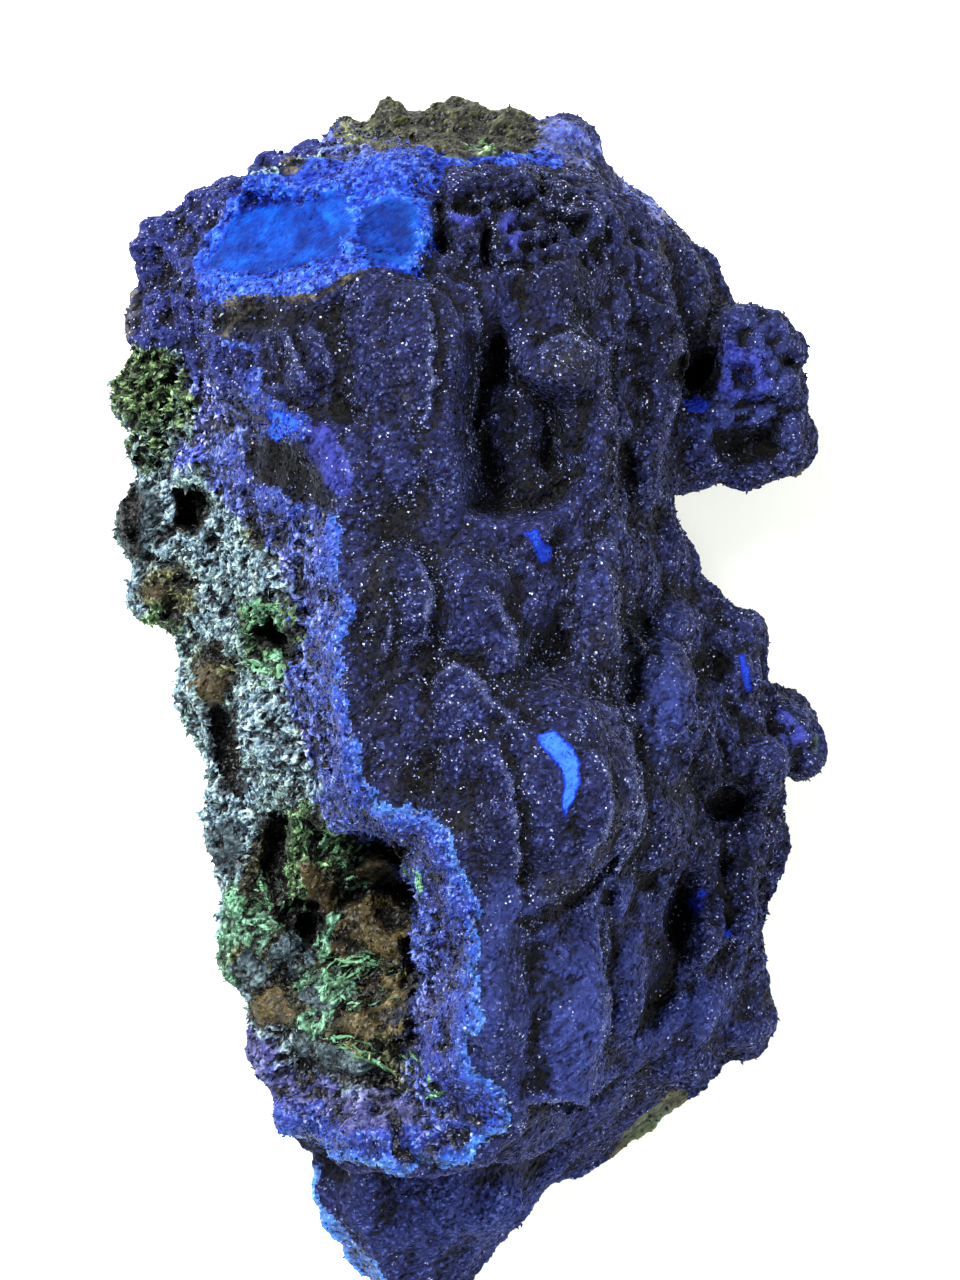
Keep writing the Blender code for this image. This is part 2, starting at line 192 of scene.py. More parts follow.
outlines = {
    "pocketLarge": (
        (-18.5, 42), (-17.5, 42), (-14, 41.6), (-10.5, 41.8), (-9.6, 38.5), (-10.1, 36.6), (-14, 35.8),
        (-17.5, 35.1), (-22.3, 36), (-21, 38.4), (-19.7, 40.5)
    ),
    "pocketSmall": (
        (-9, 40.3), (-6, 40.9), (-4.6, 40), (-3.9, 37.7), (-4.4, 35.8), (-7, 35.4), (-8.5, 36), (-8.9, 38.3)
    ),
    "violetCrust": (
        (-31, 46), (-22, 50), (-12.5, 48.5), (-14.5, 45.5), (-18, 45), (-19.5, 43.8), (-19.5, 41.5),
        (-23.3, 36.2), (-22.7, 34.3), (-20.7, 32.8), (-21, 29.3), (-17.5, 28), (-18.5, 25.5), (-22, 26),
        (-25, 29.5), (-31, 31)
    ),
    "chipUpper": (
        (4.1, 13.6), (5.6, 13.8), (5.9, 12.9), (6.8, 12.3), (6.7, 11.3), (5.9, 11), (5.2, 11.8), (5, 12.8)
    ),
    "chipCrescent": (
        (5.4, -2.6), (6.9, -2.4), (8.1, -3.4), (8.9, -4.9), (8.8, -6.6), (8.2, -8.1), (7.5, -9.4), (7.3, -8),
        (7.5, -6.5), (7, -5.1), (6.1, -4), (5.6, -3.4)
    ),
    "lens": (
        (-13, 22.5), (-12, 22.5), (-11, 21.5), (-10, 20), (-9.4, 18), (-9.5, 16.5), (-10.5, 16.5),
        (-11.5, 17.5), (-12.5, 19), (-13.2, 20.5)
    ),
    "cyan": (
        (-17, 23.6), (-16, 23.8), (-14.5, 23.3), (-13.4, 22.6), (-13.6, 21.7), (-14.7, 21.5), (-15.8, 21),
        (-16.7, 21.7), (-16.2, 22.6)
    ),
    "darkOlive": (
        (-18.5, 20.5), (-17, 21), (-15, 21), (-13.5, 20), (-12.7, 18.5), (-12, 16.7), (-12.5, 16), (-14, 17),
        (-16.5, 17.5), (-18, 18.5)
    ),
    "tanLip": (
        (-21.5, 32), (-20, 33), (-17, 33.1), (-12.5, 32.8), (-10, 34.2), (-8.5, 34.8), (-8.5, 34.2),
        (-10, 33.5), (-12.5, 32.2), (-16.3, 32.1), (-18.2, 31.7), (-19.2, 30.9), (-19.6, 29.6), (-21, 30)
    ),
    "brownLump": (
        (-31.8, 34.8), (-30.5, 36), (-28.8, 35.2), (-28.2, 33), (-28.8, 31.2), (-30.5, 30.6), (-31.8, 32)
    ),
    "oliveNub": ((-16, 45.3), (-15, 45.7), (-13.7, 45.3), (-14.5, 44), (-15.8, 44)),
    "tuft": (
        (-33, 30), (-32, 31.2), (-28, 30), (-25.5, 29.5), (-23.5, 27.5), (-22.5, 25.5), (-23.5, 23),
        (-26, 22.5), (-26.5, 20), (-28.5, 19.3), (-30, 21), (-30, 23), (-32, 24.5), (-33.5, 27)
    ),
    "greenPatch": ((-19.5, 8), (-17, 9), (-14, 8), (-13.5, 6), (-14, 3), (-16, 2), (-17.5, 3.5), (-19, 4)),
    "vug": (
        (-18.5, -11.5), (-15, -10), (-11.5, -10), (-8.5, -11), (-5, -13), (-3.5, -15.5), (-3, -18.5),
        (-3.5, -23.5), (-4.5, -27), (-3, -31), (-4.5, -32.5), (-7, -32), (-10, -29.5), (-14.5, -28.5),
        (-18, -28), (-19.5, -25), (-20, -21), (-19.5, -16.5)
    ),
    "footEdge": (
        (-15.5, -41), (-12.7, -40.5), (-12.8, -43.5), (-10.5, -46.2), (-7.5, -48.2), (-6.3, -52.5),
        (-12, -50), (-17, -46)
    ),
    "topMatrix": (
        (-13, 46.5), (-13, 54), (6.5, 54), (6.5, 50.5), (5, 46.5), (0, 45.3), (-4, 46.3), (-10, 46)
    ),
    "sliver": ((12.6, 46.2), (15.2, 45), (17.8, 42), (16.8, 41.2), (13.5, 43)),
    "knobLight": (
        (22, 31.5), (23, 31), (24.5, 30.5), (25.5, 30), (26.2, 27.5), (25.5, 25.3), (24, 25.3), (23, 27.5),
        (22, 28.5)
    ),
    "shelfLight": ((18.5, 25.3), (19, 26.1), (20, 26.1), (21.3, 25.5), (20.5, 24.5), (19, 24.7)),
    "facetSliver": ((23, 3.5), (23.6, 3.6), (24, 2.5), (24.5, 0.5), (24.1, 0), (23.4, 1.5)),
    "facetTriangle": (
        (26.8, -0.8), (27.5, -1.5), (28.5, -2.3), (29.9, -3.7), (28.9, -4.1), (27.3, -4.4), (27, -3)
    ),
    "mintEdge": ((29.8, -4), (31, -3.8), (32, -5.5), (31.3, -6.7), (30, -7.2), (29.4, -6), (30.2, -5.3)),
    "craggy": ((-2.8, 43.5), (3, 45), (10.7, 43.5), (12.3, 39.4), (10.7, 36.5), (2.5, 35.6), (-2.4, 36.1)),
    "pocketRim": (
        (-18.5, 44.5), (-14.5, 45), (-10.5, 46), (-5.5, 46), (-1, 46), (-2, 43.5), (-3, 41), (-2.6, 38.5),
        (-2.3, 37.5), (-3, 36), (-4, 34.8), (-7, 34.6), (-8.5, 34.6), (-10, 34), (-12.5, 32.5), (-17, 32.5),
        (-20, 32.5), (-22.5, 33.5), (-23.5, 36), (-23, 38), (-22, 40), (-20.5, 42), (-20, 44)
    ),
    "topRimBlue": (
        (-14.5, 45), (-10.5, 47), (-6, 46.5), (-1.5, 46.5), (2.5, 46), (6.5, 47), (8, 46), (5, 45), (1, 44.7),
        (-2.5, 44.5), (-5.5, 44.5), (-10.5, 44.5), (-14, 44)
    ),
    "topViolet": (
        (5.5, 51), (7.5, 51), (9.5, 49.5), (11.5, 48.5), (11.5, 47), (10, 45), (8.5, 45.5), (6.5, 47),
        (5.5, 48)
    ),
    "cavity": (
        (0.5, 29), (2, 28.5), (2.5, 25), (3.5, 25.5), (6, 24.5), (8, 24.5), (9.5, 24), (9.5, 22.5), (9, 20.5),
        (9, 18.5), (8, 17.5), (6.5, 16), (5, 15.5), (2.5, 15.5), (1, 16), (0.5, 18.5), (0, 21.5), (0, 24.5)
    ),
    "crestFold": ((-21.2, 29.8), (-18, 30), (-15.2, 29.8), (-15, 26), (-18, 25.8), (-21, 25.6)),
    "footOfCrust": (
        (12, -40.3), (13.3, -38.6), (15, -37.4), (16.2, -36.5), (17.4, -35.1), (18.6, -34.4), (19.3, -36),
        (17.5, -38), (16, -39.5), (14, -41), (12.5, -42)
    ),
}

# Soft round spots: x and y of the middle, half the width, half the length. The first ones come out uneven
raggedSpots = {
    # grey: patches of painted shade, laid into the shadow attribute
    "grey": (
        (-7, 9, 2.5, 5), (-7, 0, 2, 4), (-4.5, -6, 2.5, 2.5), (-1, -9, 3, 2), (2, -13, 2, 4), (-6, 14, 3, 3),
        (7.5, 35, 7, 5), (5, 42, 8, 3), (10, 25, 4, 4), (16, 30, 3, 6), (11, 2, 3, 3), (22, -12, 5, 6),
        (21.5, -8, 4.5, 2.5), (18, -20, 3, 6)
    ),
    "bright": ((19.3, -17.8, 1.2, 1), (20, -16.7, 0.6, 0.7), (22.3, -20.6, 0.6, 0.7), (17.3, -2, 0.5, 0.7)),
    "facets": (
        (2.4, 22.4, 0.8, 0.8), (0.2, 39.8, 1.8, 1.1), (3.4, 38.5, 1, 1.7), (16, 39.2, 0.8, 0.7),
        (23, 27.5, 1.5, 2)
    ),
    "valley": (
        (-17, 31, 5, 1.2), (-15, 19.5, 2.4, 1.6), (-5, 24.5, 0.7, 1.8), (19, 31, 1.6, 2.5),
        (16.5, 38.7, 1.4, 1), (20, 2.5, 2.6, 1.6), (20.6, 32, 1.5, 2.6), (26, -26.5, 0.8, 1.2),
        (8.2, 27.5, 2.2, 1.8), (8, -15, 3, 1.6), (14, -14.5, 1, 1), (10.5, 5, 1.5, 1.5), (-7.2, 9, 1.3, 4.5),
        (-6.8, 0.5, 1.2, 3.5), (-5, -6, 2, 1.3), (-0.6, -9.6, 2.2, 1.2)
    ),
}
wideSpots = {
    # Where the crust turns a lighter grey-blue: partly a paler dusting of fine crystals, partly painted sheen
    "hazeAndSheen": (
        (16.5, -0.5, 2, 6), (9, -27, 7, 12), (18, -27, 7, 6), (12, -20, 4, 8), (0, -25, 3.5, 10),
        (3.5, -16.5, 3, 4), (1, -45, 12, 7), (25, 27, 3.5, 5), (22.5, 23.5, 4, 2)
    ),
    "calm": (
        (-4.5, 26, 5, 10), (8, -25, 5, 10), (18, -27, 7, 6), (0, -45, 12, 8), (-8, 27, 3, 5),
        (2.5, -22, 2.5, 9)
    ),
    "wild": (
        (24, 27, 8, 9), (5, 41, 9, 4.5), (23, -2, 7, 8), (24, -17, 5, 9), (14, 30, 4, 14), (14, 2, 3, 6),
        (-14, 26, 3.5, 5)
    ),
}

# Colours of the broken rock, as such spots
stains = {
    "olive": (
        (-26, 9, 3, 3), (-22, 2.5, 2.2, 2.5), (-30, 33, 2, 3), (-20, -23, 1.2, 3), (-18, 14, 1.5, 1.5),
        (-12, -3, 1, 1)
    ),
    "rust": ((-27, 9, 1.2, 1.2), (-24, 15, 1.5, 1.2), (-30.5, 33.5, 1.6, 2), (-18, 13.8, 0.9, 0.9)),
    "moss": ((-27, 6.5, 2.5, 1.5), (-17, 5, 2.6, 2.6), (-28, 27, 4, 4)),
    "verdigris": (
        (-20.5, -18, 1.2, 2.5), (-21, -23.5, 1, 3.5), (-16.8, 5.5, 1.7, 2), (-17.5, 7.5, 1.5, 1),
        (-18.5, -20, 1.2, 2.5), (-16.5, 3, 1, 1)
    ),
    "slate": ((-29, 15, 2.5, 4), (-21, -13, 2, 3)),
    "dusk": ((-14, -34.5, 5, 2.6), (-7.5, -34.8, 5, 2.4), (-18.5, -31, 2.2, 2.6), (-2.6, -27, 1.6, 4)),
    "ultra": (
        (-24, 20.5, 1.8, 1.6), (-19, 19, 3.5, 3), (-14.5, 13, 1.5, 3.5), (-14.5, 5, 1, 4),
        (-13, -1.5, 1.5, 4), (-3, -25.5, 2.4, 5.5), (-5, -33.7, 5, 1.5), (-15, -35, 4, 4),
        (-19, -31.5, 2.5, 3), (-20, 23, 3.5, 3), (-3.5, -14.5, 1.8, 2.8)
    ),
}

# The ones with a shape of their own, in the order that they lie over each other
stainOutlines = {
    "olive": (
        ((-12.5, 47), (-12.5, 50), (-10.5, 51), (-8.5, 51), (-8, 49.5), (-9.5, 47.5), (-10.5, 47)),
        (
            (-11, -29), (-9.5, -28.5), (-8, -29.5), (-5.5, -29.5), (-4.5, -30), (-3, -31), (-2.5, -32),
            (-3.5, -32.5), (-5.5, -32.5), (-7, -32), (-8.5, -30.5)
        ),
    ),
    "moss": (
        (
            (-15.5, -9.5), (-13.5, -8.5), (-11.5, -9), (-10, -10), (-10, -12.5), (-11, -14), (-12.5, -14.5),
            (-13, -16), (-12.5, -17.5), (-14.5, -18), (-15.5, -17.5), (-16, -14.5), (-15.5, -12)
        ),
        ((0, 47.5), (1, 48), (2, 46.2), (2.7, 45), (1, 45.4)),
    ),
    "rust": (
        (
            (-14.5, -14), (-13, -14), (-11.5, -16), (-12, -17.5), (-11.5, -19.5), (-12.5, -20), (-13.5, -18),
            (-14, -16.5)
        ),
        ((-9.8, -14.2), (-8, -13), (-6.3, -13.5), (-5.8, -14.5), (-6, -15.5), (-7.5, -16), (-9.5, -15.7)),
        (
            (-10.8, -18.7), (-10, -17.2), (-8.5, -16.5), (-7, -17), (-5.5, -18), (-5, -19.5), (-5.5, -21.5),
            (-7, -22.5), (-9, -22.8), (-11.3, -22.3), (-11.3, -20.5)
        ),
        (
            (-18.5, -25.5), (-17, -25), (-16, -25.5), (-15, -26.5), (-15.5, -28), (-16.5, -28.5),
            (-18, -27.5), (-18.5, -26.5)
        ),
        ((-9, -24), (-6, -23.3), (-5, -25), (-5.7, -27), (-8, -28), (-10.5, -28), (-10.5, -27), (-8, -26)),
        ((-24, 2.5), (-23, 3), (-21.5, 2.5), (-20.5, 1), (-21, -0.5), (-22, -1), (-23, 0), (-24, 1)),
    ),
    "ultra": (
        (
            (-23.3, 27.3), (-18.3, 29.8), (-16.6, 25.2), (-12.6, 22.8), (-17.3, 21.3), (-17.9, 17.3),
            (-21.2, 18.2), (-24.1, 20.7), (-22.5, 24.8)
        ),
    ),
    "verdigris": (
        (
            (-13, -18.5), (-12, -18), (-11, -18.5), (-11.5, -20.5), (-11.5, -22), (-12.5, -22.5),
            (-13, -21.5), (-13, -20.5)
        ),
        (
            (-14.5, -24), (-13, -23), (-11, -23), (-9.5, -23), (-9.5, -24.5), (-10, -25.5), (-11, -26),
            (-13, -25.5), (-14, -25), (-15, -24.5)
        ),
        (
            (-14.5, -27), (-13.5, -26.5), (-12.5, -26), (-11.5, -26.5), (-12, -27.5), (-13.5, -28.5),
            (-14.5, -28.5), (-15, -28)
        ),
        (
            (-21, -20), (-19.5, -19), (-18, -18), (-17, -20), (-18, -22), (-19.5, -21.5), (-20.5, -22.5),
            (-20, -25.5), (-21, -25.5), (-21.5, -22.5)
        ),
    ),
    "slate": (
        (
            (-17, -22), (-16, -20.5), (-15, -20.5), (-14, -21), (-13, -22), (-13.5, -23), (-14.5, -24),
            (-16, -24), (-17, -23)
        ),
        ((-14.5, -25), (-13.5, -24.5), (-12, -25.5), (-11, -26), (-12.5, -26.5), (-14, -26)),
        (
            (-15.5, -29), (-13.5, -28.5), (-11.5, -29), (-9.5, -29.5), (-8, -30.5), (-7, -32), (-8.5, -32.5),
            (-11, -32), (-13, -31.5), (-15, -30.5)
        ),
        ((-19.5, -22), (-18, -22), (-17, -24), (-18.5, -25), (-19.5, -25.5), (-20, -24)),
    ),
}

slots = ("azuriteVelvet", "azuriteFresh", "azuritePocket", "brokenRock", "malachite", "limoniteRock")

# Which finish each zone takes, the later ones over the earlier
slotOrder = (
    ("azuriteFresh", ("band",)),
    ("azuriteVelvet", ("violetCrust",)),
    ("azuritePocket", ("pocketRim", "topRimBlue")),
    ("brokenRock", ("topMatrix",)),
    ("azuriteFresh", ("topViolet",)),
    ("azuritePocket", ("pocketLarge", "pocketSmall")),
    ("azuriteVelvet", ("darkOlive", "tan", "cyan", "lens")),
    ("limoniteRock", ("footOfCrust",)),
    ("malachite", ("tuft", "greenPatch")),
    ("azuriteFresh", ("footEdge", "sliver")),
)


# The zones with a crisp outline, and how much bare azure shows in each chip
crispOnes = (
    "chipUpper", "chipCrescent", "lens", "cyan", "shelfLight", "tanLip", "brownLump", "oliveNub",
    "facetSliver", "facetTriangle"
)
azureShares = {
    "chipUpper": 0.85, "chipCrescent": 1, "cyan": 0.9, "knobLight": 0.38, "shelfLight": 0.6,
    "facetSliver": 0.85, "bright": 0.78
}


def ragged(points, amount, size, seed):
    # The plan positions of the points, shifted about by noise so that outlines read off them come out uneven
    shift = np.column_stack([roughNoise(points, size, seed + 10 * axis, 3) for axis in range(2)])
    return points[:, :2] + amount * shift


def zonesOf(points):
    # How far each mineral has a hold on each point, from 0 to 1, from where the point is
    plan = ragged(points, 0.7, 1.8, 31)
    height = points[:, 2] + 2.2 * softNoise(points, 6, 41)
    toEdge = -signedDistance(plan, brokenSide)
    under = 1 - smoothStep(height, 5.5, 7.5)
    broken = smoothStep(-toEdge, -0.2, 0.2) * (1 - under)
    # The bright band follows the edge, and is wider towards the foot
    width = 2.4 + 1.3 * smoothStep(points[:, 1], -5, -15) + 0.9 * softNoise(points, 5, 43)
    band = smoothStep(toEdge, -width - 0.6, -width + 0.6) * broken
    inner = smoothStep(toEdge, -width - 3.2, -width - 0.3) * broken * (1 - band)
    zones = {name: patch(plan, outline) for name, outline in outlines.items()}
    crisp = ragged(points, 0.12, 0.8, 33)
    zones.update({name: patch(crisp, outlines[name], 0.4) for name in crispOnes})
    for name in ("pocketLarge", "pocketSmall", "pocketRim", "topRimBlue"):
        zones[name] = zones[name] * smoothStep(points[:, 2], 9, 12)
    zones["mintEdge"] = zones["mintEdge"] * smoothStep(roughNoise(points, 1.6, 87, 3), -0.4, 0.2)
    zones.update({name: spots(plan, places) for name, places in raggedSpots.items()})
    zones["azure"] = np.maximum.reduce([share * zones[name] for name, share in azureShares.items()])
    zones["tan"] = np.maximum.reduce([zones["tanLip"], zones["brownLump"], zones["oliveNub"]])
    zones.update(under=under, broken=broken, band=band, inner=inner, toEdge=toEdge)
    zones.update({name: spots(points[:, :2], places) for name, places in wideSpots.items()})
    zones["crust"] = np.maximum(1 - broken, zones["violetCrust"]) * (1 - under) * (1 - zones["topMatrix"])
    zones["pocket"] = np.maximum(zones["pocketLarge"], zones["pocketSmall"])
    for name, places in stains.items():
        zones[name] = spots(plan, places)
        for outline in stainOutlines.get(name, ()):
            zones[name] = np.maximum(zones[name], patch(plan, outline))
    # Smooth lumps, the bright sugary layers, the earthy parts and the rest of the broken rock
    zones["smooth"] = np.maximum.reduce(
        [
            zones["lens"], zones["rust"], 0.7 * zones["slate"], 0.6 * zones["verdigris"],
            0.5 * zones["ultra"], 0.7 * zones["dusk"], 0.4 * inner, 0.6 * zones["topMatrix"]
        ]
    )
    zones["sponge"] = np.maximum(zones["tuft"], 0.6 * zones["greenPatch"])
    zones["sugar"] = np.maximum.reduce([band, zones["pocketRim"], zones["topRimBlue"], zones["topViolet"]])
    zones["earth"] = np.maximum(zones["vug"], zones["topMatrix"])
    zones["rock"] = np.maximum((1 - zones["crust"]) * (1 - zones["sugar"]) * (1 - zones["pocket"]), under)
    # Painted shadow: the grey patches, the cavity, the small pocket and the hollows, mottled by noise
    shadow = np.maximum.reduce(
        [0.3 * zones["grey"], 0.55 * patch(plan, outlines["cavity"], 2.4), 0.15 * zones["pocketSmall"]]
    )
    for forms in (crustForms, rockForms):
        for outline, depth, fade in forms["hollows"]:
            shadow = np.maximum(shadow, min(depth / 2.4, 1) * patch(plan, outline, fade * 1.3, 0.15))
    mottled = 0.85 + 0.4 * roughNoise(points, 1.3, 45, 3) * smoothStep(shadow, 0.1, 0.5)
    zones["shadow"] = np.clip(shadow * mottled, 0, 1)
    return zones


